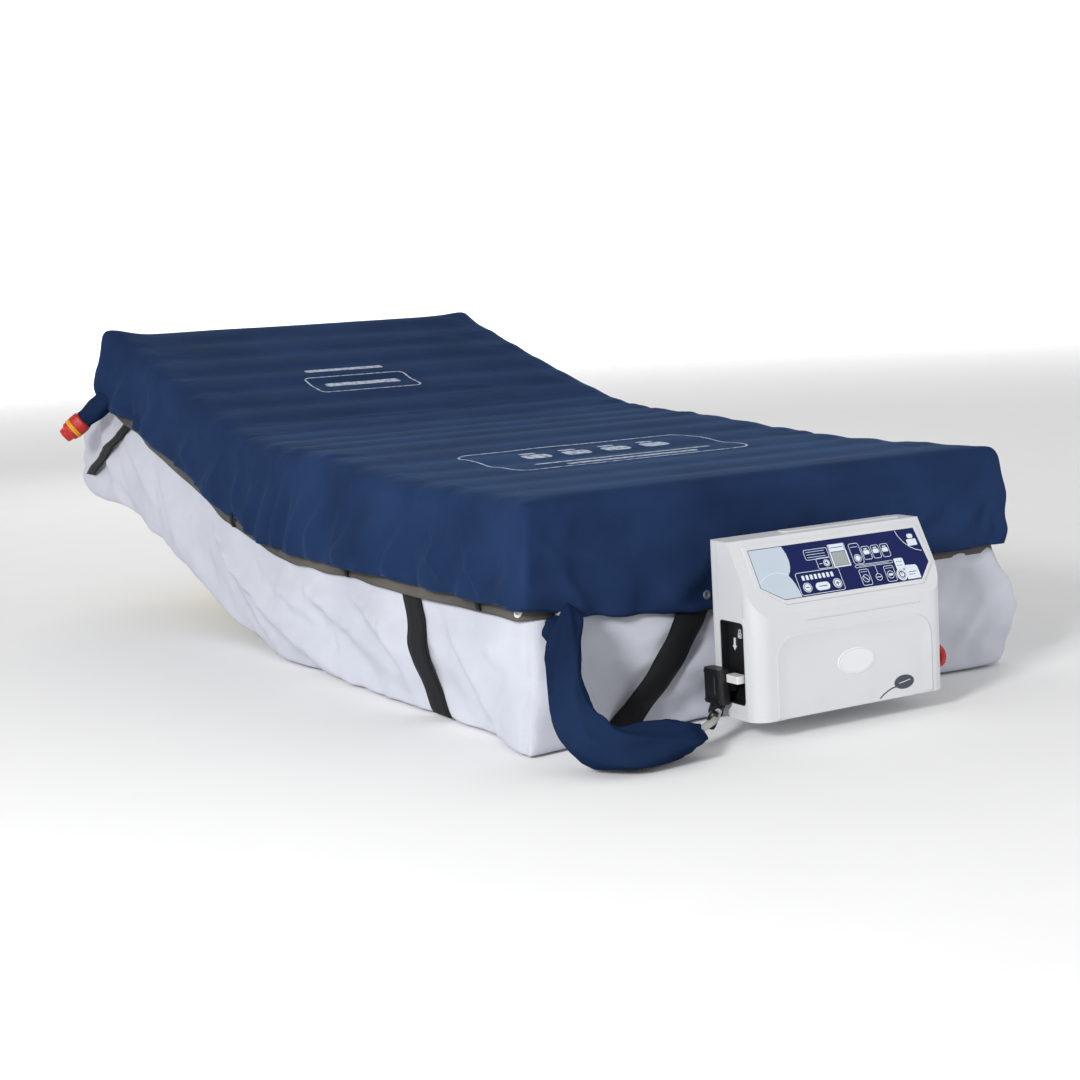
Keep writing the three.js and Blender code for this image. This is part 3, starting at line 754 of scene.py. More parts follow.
def blend(obj):
    """Bakes the piece's placement into its mesh."""
    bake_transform(obj)


def drops(depth, steps, tuck=0.0, tuck_steps=0):
    """Rows of a skirt for lid(): down the side, then under it."""
    rows = [(depth * k / steps, 0.0) for k in range(1, steps + 1)]
    rows += [(depth, tuck * k / tuck_steps) for k in range(1, tuck_steps + 1)]
    return rows


def plain_body(name, half, foot, head, top, depth, radius, pitch, valleys=0.0):
    """A body that a sheet settles on, removed afterwards."""
    flat, faces, _, _ = lid(half, foot, head, top, drops(depth, 6), pitch, radius)
    if valleys:
        flat[:, 2] += (crown(flat[:, 1]) - valleys * ridge_valley(flat[:, 1])) * (flat[:, 2] > top - 0.05)
    return mesh_object(name, mattress_point(flat), faces)


def ridge_valley(s):
    """0 over the middle of an air cell and 1 between two cells."""
    phase = (s - FOOT - 0.0035) / CELL_PITCH
    return (0.5 + 0.5 * np.cos(2 * np.pi * phase)) ** 1.6


def crown(s):
    """How far the cells stand up where the bend squeezes them together."""
    return 0.031 * np.exp(-(((np.asarray(s, float) - BEND_START - 0.07) / 0.34) ** 2))


SHEET_SIDE = BASE_TOP - 0.004  # down the side
SHEET_TUCK = 0.07  # and under the mattress
# the sheet's longest folds, from (along, down) to (along, down) in metres, with their width and height
SHEET_SIDE_FOLDS = [
    ((0.98, 0.05), (0.20, 0.215), 0.030, 0.018),
    ((0.72, 0.04), (0.34, 0.120), 0.022, 0.012),
    ((0.46, 0.05), (-0.06, 0.200), 0.030, 0.018),
    ((0.28, 0.04), (-0.02, 0.130), 0.020, 0.012),
    ((0.10, 0.04), (-0.04, 0.190), 0.022, 0.014),
    ((-0.12, 0.03), (-0.34, 0.205), 0.026, 0.016),
    ((-0.20, 0.02), (-0.33, 0.110), 0.018, 0.012),
    ((1.30, 0.03), (1.05, 0.190), 0.026, 0.014),
    ((1.52, 0.03), (1.28, 0.150), 0.022, 0.014),
    ((1.62, 0.06), (1.46, 0.205), 0.020, 0.012),
    ((0.80, 0.10), (0.50, 0.210), 0.022, 0.010),
]
SHEET_END_FOLDS = [
    ((-0.40, 0.03), (-0.34, 0.200), 0.024, 0.014),
    ((-0.36, 0.05), (-0.08, 0.085), 0.022, 0.014),
    ((-0.34, 0.10), (-0.02, 0.150), 0.024, 0.014),
    ((-0.30, 0.16), (0.06, 0.185), 0.022, 0.010),
    ((0.43, 0.02), (0.33, 0.190), 0.022, 0.014),
    ((0.43, 0.05), (0.38, 0.210), 0.018, 0.012),
    ((0.10, 0.06), (0.32, 0.110), 0.022, 0.012),
]


def add_base_mattress():
    # foam core, with its lower edges just above the bed surface
    inset = 0.012
    flat, faces, _, _ = lid(
        BASE_HALF_WIDTH - inset,
        BASE_FOOT + inset,
        BASE_HEAD - inset,
        BASE_TOP - 0.004,
        drops(0.208, 4, 0.02, 1),
        0.03,
        0.03,
    )
    flat[:, 2] = np.maximum(flat[:, 2], 0.008)
    foam = mesh_object("foam_core", mattress_point(flat), faces)
    turn_outward(foam, close=True)
    paint(foam, foam_cells)
    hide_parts("base_foam_foot", "base_foam_head")
    blend(foam)

    # fitted sheet: baggy down the sides, drawn under at the bottom
    rows = drops(SHEET_SIDE, 15, SHEET_TUCK, 4)
    flat, faces, unfolded, depth = lid(BASE_HALF_WIDTH, BASE_FOOT, BASE_HEAD, BASE_TOP, rows, 0.0145, 0.036)
    x, s, _ = flat.T.copy()
    side = smoothstep(0.03, 0.10, depth) * (1 - smoothstep(0.222, 0.265, depth))
    at_end = (s < BASE_FOOT + 0.03) | (s > BASE_HEAD - 0.03)
    direction = np.stack(
        [np.sign(x) * (np.abs(x) > BASE_HALF_WIDTH - 0.03), np.where(at_end, np.sign(s - FLAT_TO_ROW), 0)], axis=1
    )
    belly = np.sin(np.pi * np.clip(depth / 0.235, 0, 1))
    low = smoothstep(0.10, 0.21, depth) * (1 - smoothstep(0.24, 0.28, depth))
    # long folds that slant down towards the foot on the sides and lie almost level on the end
    slanted = np.stack([x * 0.6, s + 1.1 * depth, depth * 2.2 + 0.5 * s], axis=1)
    level = np.stack([0.35 * x, 0.2 * s, 1.0 * depth + 0.25 * x], axis=1)
    along = np.where(at_end, wave(level, (9, 9, 22), 3.1), wave(slanted, (5, 5, 6), 3.1))
    fine = np.where(at_end, wave(level, (22, 22, 60), 6.4), wave(slanted, (13, 15, 15), 6.4))
    crest = 1 - 2 * np.abs(fine)
    pulled = np.where(at_end, creases(level, (6, 6, 15), 2.9, 0.10), creases(slanted, (4, 4.5, 5), 7.7, 0.10))
    lines = np.where(at_end, fold_lines(x, depth, SHEET_END_FOLDS), fold_lines(s, depth, SHEET_SIDE_FOLDS))
    folds = 0.020 * along + 0.007 * crest + 0.006 * pulled + lines
    near_foot_left = np.exp(-(((x + 0.44) / 0.09) ** 2) - ((s - BASE_FOOT) / 0.10) ** 2)
    near_foot_right = np.exp(-(((x - 0.44) / 0.16) ** 2) - ((s - BASE_FOOT) / 0.20) ** 2)
    near_head_left = np.exp(-(((x + 0.44) / 0.22) ** 2) - ((s - BASE_HEAD) / 0.16) ** 2)
    near_head = np.exp(-(((s - BASE_HEAD) / 0.16) ** 2))
    bag = 0.009 * belly + 0.040 * low * near_foot_left + 0.016 * belly * near_foot_right
    bag += 0.030 * low * near_head_left + 0.012 * belly * near_head
    right_waves = np.sin((x - s + 0.9 * depth) * 130 + 3 * wave(flat, (6, 6, 6), 2.0))
    left_waves = np.sin((s - 0.7 * x) * 150 + 2 * wave(flat, (8, 8, 8), 5.0))
    gathers = 0.0035 * right_waves * near_foot_right * belly + 0.0045 * left_waves * near_foot_left * low
    flat[:, :2] += direction * (side * folds + bag + gathers + 0.002 * side)[:, None]
    sag = 0.018 * low * near_head + 0.016 * low * near_head_left + 0.007 * low * wave(slanted, (8, 8, 0), 1.2)
    flat[:, 2] -= np.maximum(sag, -0.004)
    inset = 0.008
    body = plain_body(
        "sheet_body", BASE_HALF_WIDTH - inset, BASE_FOOT + inset, BASE_HEAD - inset, SHEET_SIDE, 0.214, 0.035, 0.03
    )
    sheet = mesh_object("fitted_sheet", mattress_point(flat), faces)
    store_unfolded(sheet, unfolded)
    pinned = ((depth < 0.02) | (depth > 0.262)).astype(float)
    drape(sheet, body, pinned, 0.035, side, 0.009, 14, pressure=0.5, gravity=0.6)
    bpy.data.objects.remove(body)
    points = points_of(sheet.data)
    points[:, 2] = np.maximum(points[:, 2], 0.0012)
    set_points(sheet.data, points)
    solidify(sheet, 0.0011, levels=1)
    paint(sheet, cotton)
    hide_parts("fitted_sheet_foot", "fitted_sheet_head")
    blend(sheet)
    return sheet


fitted_sheet = add_base_mattress()


# Overlay ------------------------------------------------------------------------------------------


def add_overlay_base():
    half, foot, head, top = BASE_HALF_WIDTH + 0.003, BASE_FOOT - 0.003, HEAD - 0.003, BASE_TOP + 0.0025
    flat, faces, unfolded, depth = lid(half, foot, head, top, drops(0.036, 3), 0.02, 0.03)
    lower = smoothstep(0.008, 0.036, depth)
    flat[:, 2] += lower * 0.007 * wave(flat, (9, 9, 0), 5.3) * (flat[:, 1] > foot + 0.02)
    flat[:, 0] += np.sign(flat[:, 0]) * lower * (0.004 + 0.005 * wave(flat, (14, 14, 0), 1.7))
    tray = mesh_object("overlay_base", mattress_point(flat), faces)
    store_unfolded(tray, unfolded)
    solidify(tray, 0.001, levels=1)
    paint(tray, tray_cloth)
    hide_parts("overlay_base_foot", "overlay_base_head")
    blend(tray)
    return tray


def cell_mesh(name, width, s):
    """An inflated cell: a bar with pillowed ends."""
    bottom, top = CELL_BOTTOM, COVER_TOP - 0.014 + float(crown(s))
    left, right = -0.412, 0.438
    points = []
    rings, sides = 25, 20
    for i in range(rings):
        share = i / (rings - 1)
        x = left + (right - left) * share
        closing = min(share, 1 - share) * (right - left)
        puff = math.sqrt(max(1 - max(0.0, 1 - closing / 0.03) ** 2, 0.0)) * 0.82 + 0.18
        for k in range(sides):
            angle = 2 * math.pi * k / sides
            c, d = math.cos(angle), math.sin(angle)
            across = width / 2 * math.copysign(abs(c) ** 0.7, c)
            height = (top - bottom) / 2 * math.copysign(abs(d) ** 0.7, d)
            points.append((x, s + across * puff, (top + bottom) / 2 + height * puff))
    return mesh_object(name, mattress_point(points), ring_faces(rings, sides) + end_caps(rings, sides))


def add_cells():
    first_bent, last_bent = 8, 11
    for number in range(1, CELL_COUNT + 1):
        s = FOOT + 0.0035 + CELL_PITCH * (number - 0.5)
        bent = first_bent <= number <= last_bent
        node = f"air_cell_{number:02d}"
        cell = cell_mesh(node + "_bag", 0.092 if bent else 0.110, s)
        paint(cell, cell_cloth)
        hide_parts(node)
        blend(cell)
    line = []
    for s in np.linspace(FOOT + 0.04, HEAD - 0.04, 120):
        line.append((-0.426, s, CELL_BOTTOM + 0.022))
    tube = swept("air_line_tube", mattress_point(line), round_section(0.006), 12)
    paint(tube, clear_pvc)
    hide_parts("air_line")
    blend(tube)


COVER_DEPTH = COVER_TOP - COVER_HEM
# the cover's deepest folds, in the same terms as the sheet's
COVER_SIDE_FOLDS = [
    ((-0.10, 0.00), (0.22, 0.140), 0.034, 0.026),
    ((-0.10, 0.01), (0.05, 0.150), 0.024, 0.018),
    ((-0.12, 0.04), (-0.19, 0.135), 0.024, 0.014),
    ((-0.23, 0.05), (-0.31, 0.140), 0.022, 0.014),
    ((-0.26, 0.00), (-0.09, 0.150), 0.026, 0.018),
    ((-0.39, 0.01), (-0.385, 0.090), 0.016, 0.012),
    ((0.15, 0.00), (0.36, 0.130), 0.028, 0.020),
    ((0.17, 0.01), (0.24, 0.150), 0.020, 0.013),
    ((0.31, 0.00), (0.45, 0.150), 0.022, 0.017),
    ((0.44, 0.01), (0.53, 0.140), 0.020, 0.016),
    ((0.53, 0.02), (0.61, 0.150), 0.018, 0.015),
    ((0.63, 0.01), (0.70, 0.140), 0.018, 0.015),
    ((0.73, 0.01), (0.79, 0.130), 0.018, 0.013),
    ((0.85, 0.02), (0.92, 0.140), 0.020, 0.012),
    ((1.02, 0.01), (1.08, 0.130), 0.022, 0.012),
    ((1.22, 0.01), (1.30, 0.140), 0.022, 0.012),
    ((1.42, 0.01), (1.46, 0.130), 0.022, 0.010),
]
COVER_FOOT_FOLDS = [
    ((-0.43, 0.02), (-0.26, 0.125), 0.030, 0.016),
    ((-0.43, 0.03), (-0.37, 0.145), 0.020, 0.012),
    ((-0.02, 0.00), (-0.12, 0.100), 0.024, 0.010),
    ((0.02, 0.01), (0.05, 0.090), 0.020, 0.010),
    ((0.14, 0.00), (0.09, 0.110), 0.024, 0.012),
    ((0.44, 0.02), (0.27, 0.075), 0.028, 0.018),
    ((0.44, 0.04), (0.31, 0.140), 0.026, 0.018),
    ((0.44, 0.06), (0.40, 0.150), 0.020, 0.012),
]


def add_cover():
    rows = drops(COVER_DEPTH, 13)
    flat, faces, unfolded, depth = lid(COVER_HALF_WIDTH, FOOT, HEAD, COVER_TOP, rows, 0.012, 0.022)
    x, s, h = flat.T.copy()
    top_share = 1 - smoothstep(0.0, 0.05, depth)
    low_share = smoothstep(0.02, COVER_DEPTH, depth)
    on_side = np.abs(x) > COVER_HALF_WIDTH - 0.015
    at_foot = s < FOOT + 0.015
    at_head = s > HEAD - 0.015
    outward = np.stack([np.where(on_side, np.sign(x), 0), np.where(at_head, 1.0, np.where(at_foot, -1.0, 0))], axis=1)
    # the cells show as shallow, broken ridges; the foot edge rolls over and the corners stand up
    middle = smoothstep(FOOT + 0.12, FOOT + 0.35, s) * (1 - smoothstep(HEAD - 0.10, HEAD - 0.02, s))
    broken = 0.55 + 0.45 * wave(flat, (2.5, 5, 0), 7.3)
    dip = 0.0032 * ridge_valley(s + 0.012 * wave(flat, (3, 3, 0), 1.4)) * top_share * middle * broken
    uneven = (0.0035 * wave(flat, (3, 7, 0), 2.2) + 0.0016 * wave(flat, (5, 22, 0), 5.9)) * top_share
    corner = np.exp(-(((np.abs(x) - 0.45) / 0.045) ** 2) - ((np.abs(s - FLAT_TO_ROW) - 1.0) / 0.05) ** 2)
    edge_sag = smoothstep(FOOT + 0.09, FOOT, s) * 0.014 * (1 - np.exp(-(((np.abs(x) - 0.45) / 0.07) ** 2)))
    side_sag = smoothstep(0.41, 0.45, np.abs(x)) * 0.006 * (1 - corner)
    head_left = np.exp(-(((x + 0.45) / 0.05) ** 2) - ((s - HEAD) / 0.10) ** 2)
    lift = 0.008 * corner + 0.012 * head_left
    flat[:, 2] += uneven - dip + lift * top_share + (crown(s) - edge_sag - side_sag) * (1 - low_share)
    flat[:, 0] -= 0.020 * head_left
    # sharp-crested folds down the sides slant towards the head, close together where the cover bends
    bent = np.exp(-(((s - BEND_START - 0.18) / 0.30) ** 2))
    slant = s - 0.75 * depth
    wide_folds = 1 - 2.0 * np.abs(wave(np.stack([x * 0.3, slant, depth * 0], axis=1), (5, 8, 1), 6.1))
    close_folds = 1 - 2.2 * np.abs(wave(np.stack([x * 0.3, slant, depth * 0], axis=1), (5, 21, 1), 4.4))
    swags = 1 - 2.0 * np.abs(wave(np.stack([x + 1.3 * depth, depth * 2.5 - 0.5 * x, s * 0], axis=1), (6, 6, 1), 2.7))
    side_folds = 0.027 * (wide_folds - 0.4) * (1 - 0.6 * bent) + (0.005 + 0.012 * bent) * close_folds
    fan = np.stack([x * 0.3, s - 0.95 * depth - 0.25 * np.abs(x), depth * 0.4], axis=1)
    thin = creases(fan, (4, 7.5, 9), 3.6) * (0.45 + 0.55 * smoothstep(-0.3, 0.3, wave(flat, (4, 4, 4), 8.8)))
    side_folds += 0.0085 * thin + 0.004 * creases(fan, (5, 17, 9), 5.2, 0.11) * bent
    swag_lines = np.stack([x + 1.5 * depth, depth * 2.2 - 0.7 * x, s * 0], axis=1)
    foot_folds = 0.024 * (swags - 0.3) + 0.004 * close_folds + 0.007 * creases(swag_lines, (4.5, 5, 1), 7.1, 0.08)
    side_folds += fold_lines(s, depth, COVER_SIDE_FOLDS) * np.where(x < 0, 1.0, 0.8)
    foot_folds += fold_lines(x, depth, COVER_FOOT_FOLDS)
    folds = np.where(at_foot & ~on_side, foot_folds, side_folds)
    over_edge = top_share * smoothstep(0.28, 0.45, np.abs(x)) * (1 - np.exp(-(((np.abs(x) - 0.45) / 0.02) ** 2)))
    flat[:, 2] += (0.007 * (wide_folds - 0.5) + 0.003 * close_folds * bent + 0.004 * thin) * over_edge
    ruck = creases(np.stack([x + 0.3 * s, s - 0.10 * x, h * 0], axis=1), (1.6, 9, 1), 9.4, 0.06)
    flat[:, 2] += 0.0030 * ruck * top_share * middle * smoothstep(-0.1, 0.35, wave(flat, (3, 4, 0), 4.9))
    belly = np.sin(np.pi * np.clip(depth / COVER_DEPTH, 0, 1))
    flat[:, :2] += outward * (folds * low_share * 0.9 + 0.006 * belly + 0.004 * low_share)[:, None]
    # the hem is uneven, and hangs lower in the middle of the foot end
    hem_drop = 0.040 * np.exp(-(((x + 0.14) / 0.26) ** 2)) * (s < FOOT + 0.03) * (1 - corner)
    flat[:, 2] += low_share**2 * (0.006 * wave(flat, (6, 6, 0), 9.9) - hem_drop)
    inset = 0.008
    half, top = COVER_HALF_WIDTH - inset, COVER_TOP - 0.009
    body = plain_body("cover_body", half, FOOT + inset, HEAD - inset, top, 0.12, 0.026, 0.016, 0.003)
    cover = mesh_object("overlay_cover", mattress_point(flat), faces)
    store_unfolded(cover, unfolded)
    slack_weight = 0.10 + 0.90 * smoothstep(0.0, 0.06, depth)
    drape(cover, body, np.zeros(len(flat)), 0.03, slack_weight, 0.009, 16)
    bpy.data.objects.remove(body)
    solidify(cover, 0.001, levels=1)
    paint(cover, cover_nylon)
    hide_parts("cover_foot", "cover_head")
    blend(cover)
    return cover


overlay_base = add_overlay_base()
add_cells()
cover = add_cover()


# Straps -------------------------------------------------------------------------------------------


def band(name, middles, widths, outward, thickness=0.0014, crease=0.0):
    """A flat strap along its middle line, with its width directions and its outward side given."""
    middles, widths = np.asarray(middles), np.asarray(widths)
    columns = 4
    points, faces, unfolded = [], [], []
    run = np.concatenate([[0], np.cumsum(np.linalg.norm(np.diff(middles, axis=0), axis=1))])
    for i, middle in enumerate(middles):
        for k in range(columns + 1):
            share = k / columns - 0.5
            points.append(middle + widths[i] * share + np.array(outward) * crease * (1 - 4 * abs(share)))
            unfolded.append((share * np.linalg.norm(widths[i]), run[i]))
    for i in range(len(middles) - 1):
        for k in range(columns):
            a = i * (columns + 1) + k
            faces.append((a, a + 1, a + columns + 2, a + columns + 1))
    strap = mesh_object(name, points, faces)
    first = strap.data.polygons[0].normal
    if first @ Vector(outward) < 0:
        strap.data.flip_normals()
    store_unfolded(strap, np.array(unfolded))
    solidify(strap, thickness, offset=1)
    paint(strap, webbing)
    return strap


def surface_tree(obj):
    return BVHTree.FromPolygons(
        [tuple(v.co) for v in obj.data.vertices], [tuple(p.vertices) for p in obj.data.polygons]
    )


def side_band(name, sign, s_top, top, bottom, lean, tree, width=0.064):
    """A strap down the mattress' side that lies on the sheet."""
    middles, widths = [], []
    count = 28
    for i in range(count):
        share = i / (count - 1)
        flat = np.array([[sign * 0.60, s_top + lean * share, top + (bottom - top) * share]])
        start = mattress_point(flat)[0]
        reach = []
        for edge in (-width / 2, 0, width / 2):
            hit = tree.ray_cast(Vector(start + (0, edge, 0)), Vector((-sign, 0, 0)))[0]
            reach.append(abs(hit.x) if hit else BASE_HALF_WIDTH)
        middles.append((sign * (max(reach) + 0.0008), start[1], start[2]))
        widths.append((0, width, 0))
    middles = np.array(middles)
    kernel = np.array([1, 2, 3, 2, 1]) / 9
    padded_x = np.pad(middles[:, 0], 2, mode="edge")
    smooth_x = np.convolve(padded_x, kernel, mode="valid")
    middles[:, 0] = sign * np.maximum(np.abs(middles[:, 0]), np.abs(smooth_x))
    return band(name, middles, widths, (sign, 0, 0))


def add_straps():
    tree = surface_tree(fitted_sheet)
    for side, sign in (("left", -1), ("right", 1)):
        for kind, body, along, top, bottom, lean in (
            ("side", "root", -0.585, 0.222, 0.004, -0.115),
            ("head", "head_section", 0.835, 0.228, 0.02, 0.19),
        ):
            strap = side_band(f"{kind}_band_{side}", sign, FLAT_TO_ROW + along, top, bottom, lean, tree)
            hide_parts(f"{kind}_strap_{side}")
            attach(strap, body)
    # the wide strap comes out from under the hem at the foot and lies against the sheet
    middles, widths = [], []
    count = 40
    for i in range(count):
        share = i / (count - 1)
        x, z = -0.120 - 0.195 * share, 0.222 - 0.212 * share
        reach = []
        for edge in (-0.034, 0, 0.034):
            hit = tree.ray_cast(Vector((x + edge, -0.8, z)), Vector((0, 1, 0)))[0]
            reach.append(hit.y if hit else BASE_FOOT)
        under_hem = float(smoothstep(0.25, 0.05, share))
        slack = 0.003 + 0.012 * math.sin(math.pi * share) - 0.006 * under_hem
        middles.append((x, min(reach) - slack, z))
        widths.append((0.068, 0.006 * math.sin(5 * share), 0.012))
    middles = np.array(middles)
    middles[2:-2, 1] = np.convolve(middles[:, 1], np.ones(5) / 5, mode="valid")
    strap = band("foot_band", middles, widths, (0, -1, 0), crease=0.004)
    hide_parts("foot_strap")
    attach(strap, "root")


def add_snaps_and_loops():
    """Press studs at the foot end and webbing loops under the cover's left hem."""
    cover_tree, tray_tree = surface_tree(cover), surface_tree(overlay_base)
    for name, tree, origin, direction, shader, size in (
        ("foot_snap", cover_tree, (-0.142, -0.7, 0.190), (0, 1, 0), snap_grey, 0.0075),
        ("corner_eyelet", tray_tree, (-0.7, -0.385, 0.199), (1, 0, 0), snap_white, 0.0085),
    ):
        hit, normal = tree.ray_cast(Vector(origin), Vector(direction))[:2]
        if normal @ Vector(direction) > 0:
            normal = -normal
        side = normal.cross(Vector((0, 0, 1))).normalized()
        up = side.cross(normal)
        profile = [(0.35, 0.4), (0.42, 1.6), (0.6, 2.2), (0.85, 1.9), (1.0, 0.8), (1.0, -0.6)]
        rings, sides = len(profile), 28
        points = []
        for share, height in profile:
            for k in range(sides):
                angle = 2 * math.pi * k / sides
                away = (side * math.cos(angle) + up * math.sin(angle)) * size * share
                points.append(hit + away + normal * height * MM)
        snap = mesh_object(name, points, ring_faces(rings, sides) + end_caps(rings, sides))
        turn_outward(snap)
        paint(snap, shader)
        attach(snap, "root")
    for number, s in enumerate((-0.268, 0.21, 0.80), 1):
        hem = mattress_point([(-COVER_HALF_WIDTH, s, COVER_HEM)])[0]
        middles = []
        for k in range(14):
            turn = math.pi * k / 13
            middles.append(hem + (0.004 + 0.005 * math.cos(turn), 0, 0.004 - 0.028 * math.sin(turn) ** 0.6))
        loop = band(f"hem_loop_{number}", middles, [(0, 0.013, 0)] * 14, (-1, 0, 0))
        blend(loop)


add_straps()
add_snaps_and_loops()


# Pump, in its own millimetres: X across, Y from front to rear, Z up ---------------------------------

PUMP_AT = np.array((-10.0, FLAT_TO_ROW * 1000 - 1125.5, 29.0))
PUMP_WIDTH, PUMP_DEPTH, PUMP_HEIGHT = 350.0, 105.0, 255.0
RIDGE = 152.0
SLOPE = math.atan2(6.0 + PUMP_DEPTH / 2, PUMP_HEIGHT - RIDGE)
PANEL_TOP = 1.9
KEY_TOP = 2.5
RECESS = -2.0


def pump_point(x, y, z):
    return (PUMP_AT + (x, y, z)) * MM


def on_panel(x, y, out):
    """On the slanted face: x across, y up the slope."""
    return pump_point(
        x,
        -PUMP_DEPTH / 2 + y * math.sin(SLOPE) - out * math.cos(SLOPE),
        RIDGE + y * math.cos(SLOPE) + out * math.sin(SLOPE),
    )


def on_front(x, z, out):
    return pump_point(x, -PUMP_DEPTH / 2 - out, z)


def on_left(y, z, out):
    """On the left face, seen from the left: y runs towards the front."""
    return pump_point(-PUMP_WIDTH / 2 - out, -y, z)


def rounded(x0, y0, x1, y1, radius, steps=4):
    made = []
    for cx, cy, start in (
        (x1 - radius, y0 + radius, -90),
        (x1 - radius, y1 - radius, 0),
        (x0 + radius, y1 - radius, 90),
        (x0 + radius, y0 + radius, 180),
    ):
        for k in range(steps + 1):
            angle = math.radians(start + 90 * k / steps)
            made.append((cx + radius * math.cos(angle), cy + radius * math.sin(angle)))
    return made


def oval(x, y, a, b=None, count=28):
    b = a if b is None else b
    angles = [2 * math.pi * k / count for k in range(count)]
    return [(x + a * math.cos(angle), y + b * math.sin(angle)) for angle in angles]


def outline(x0, y0, x1, y1, radius, width=0.8):
    """A line drawn round a rounded rectangle, as an (outer, inner) pair."""
    w = width
    return rounded(x0, y0, x1, y1, radius), rounded(x0 + w, y0 + w, x1 - w, y1 - w, max(radius - w, 0.3))


def circle_line(x, y, radius, width=0.8):
    return oval(x, y, radius), oval(x, y, radius - width)


def stroke(points, width):
    """A line of even width along open points, as a closed outline."""
    points = np.asarray(points, float)
    along = np.gradient(points, axis=0)
    along /= np.linalg.norm(along, axis=1, keepdims=True)
    side = np.stack([-along[:, 1], along[:, 0]], axis=1) * width / 2
    return [tuple(p) for p in points - side] + [tuple(p) for p in (points + side)[::-1]]


def raised(name, shapes, place, low, high, shader, edge=0.0):
    """Flat shapes between two heights on a face, in millimetres; a shape is an outline or an (outer, inner) pair."""
    points, faces = [], []
    for shape in shapes:
        ring = isinstance(shape, tuple)
        loops = shape if ring else (shape,)
        count = len(loops[0])
        base = len(points)
        for loop in loops:
            middle = np.mean(loop, axis=0)
            for out, shrink in ((low, 0.0), (high - edge, 0.0), (high, edge)):
                for p in loop:
                    away = np.asarray(p) - middle
                    reach = np.linalg.norm(away) or 1.0
                    x, y = np.asarray(p) - away / reach * shrink
                    points.append(place(x, y, out))
        rows = [base + k * count for k in range(3 * len(loops))]
        turn = (0, 1, 2, 5, 4, 3, 0) if ring else (0, 1, 2)
        for first, second in zip([rows[k] for k in turn], [rows[k] for k in turn[1:]]):
            for k in range(count):
                nxt = (k + 1) % count
                faces.append((first + k, first + nxt, second + nxt, second + k))
        if not ring:
            faces.append(tuple(rows[0] + k for k in range(count))[::-1])
            faces.append(tuple(rows[2] + k for k in range(count)))
    obj = mesh_object(name, points, faces, smooth=False)
    turn_outward(obj)
    paint(obj, shader)
    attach(obj, "root")
    return obj


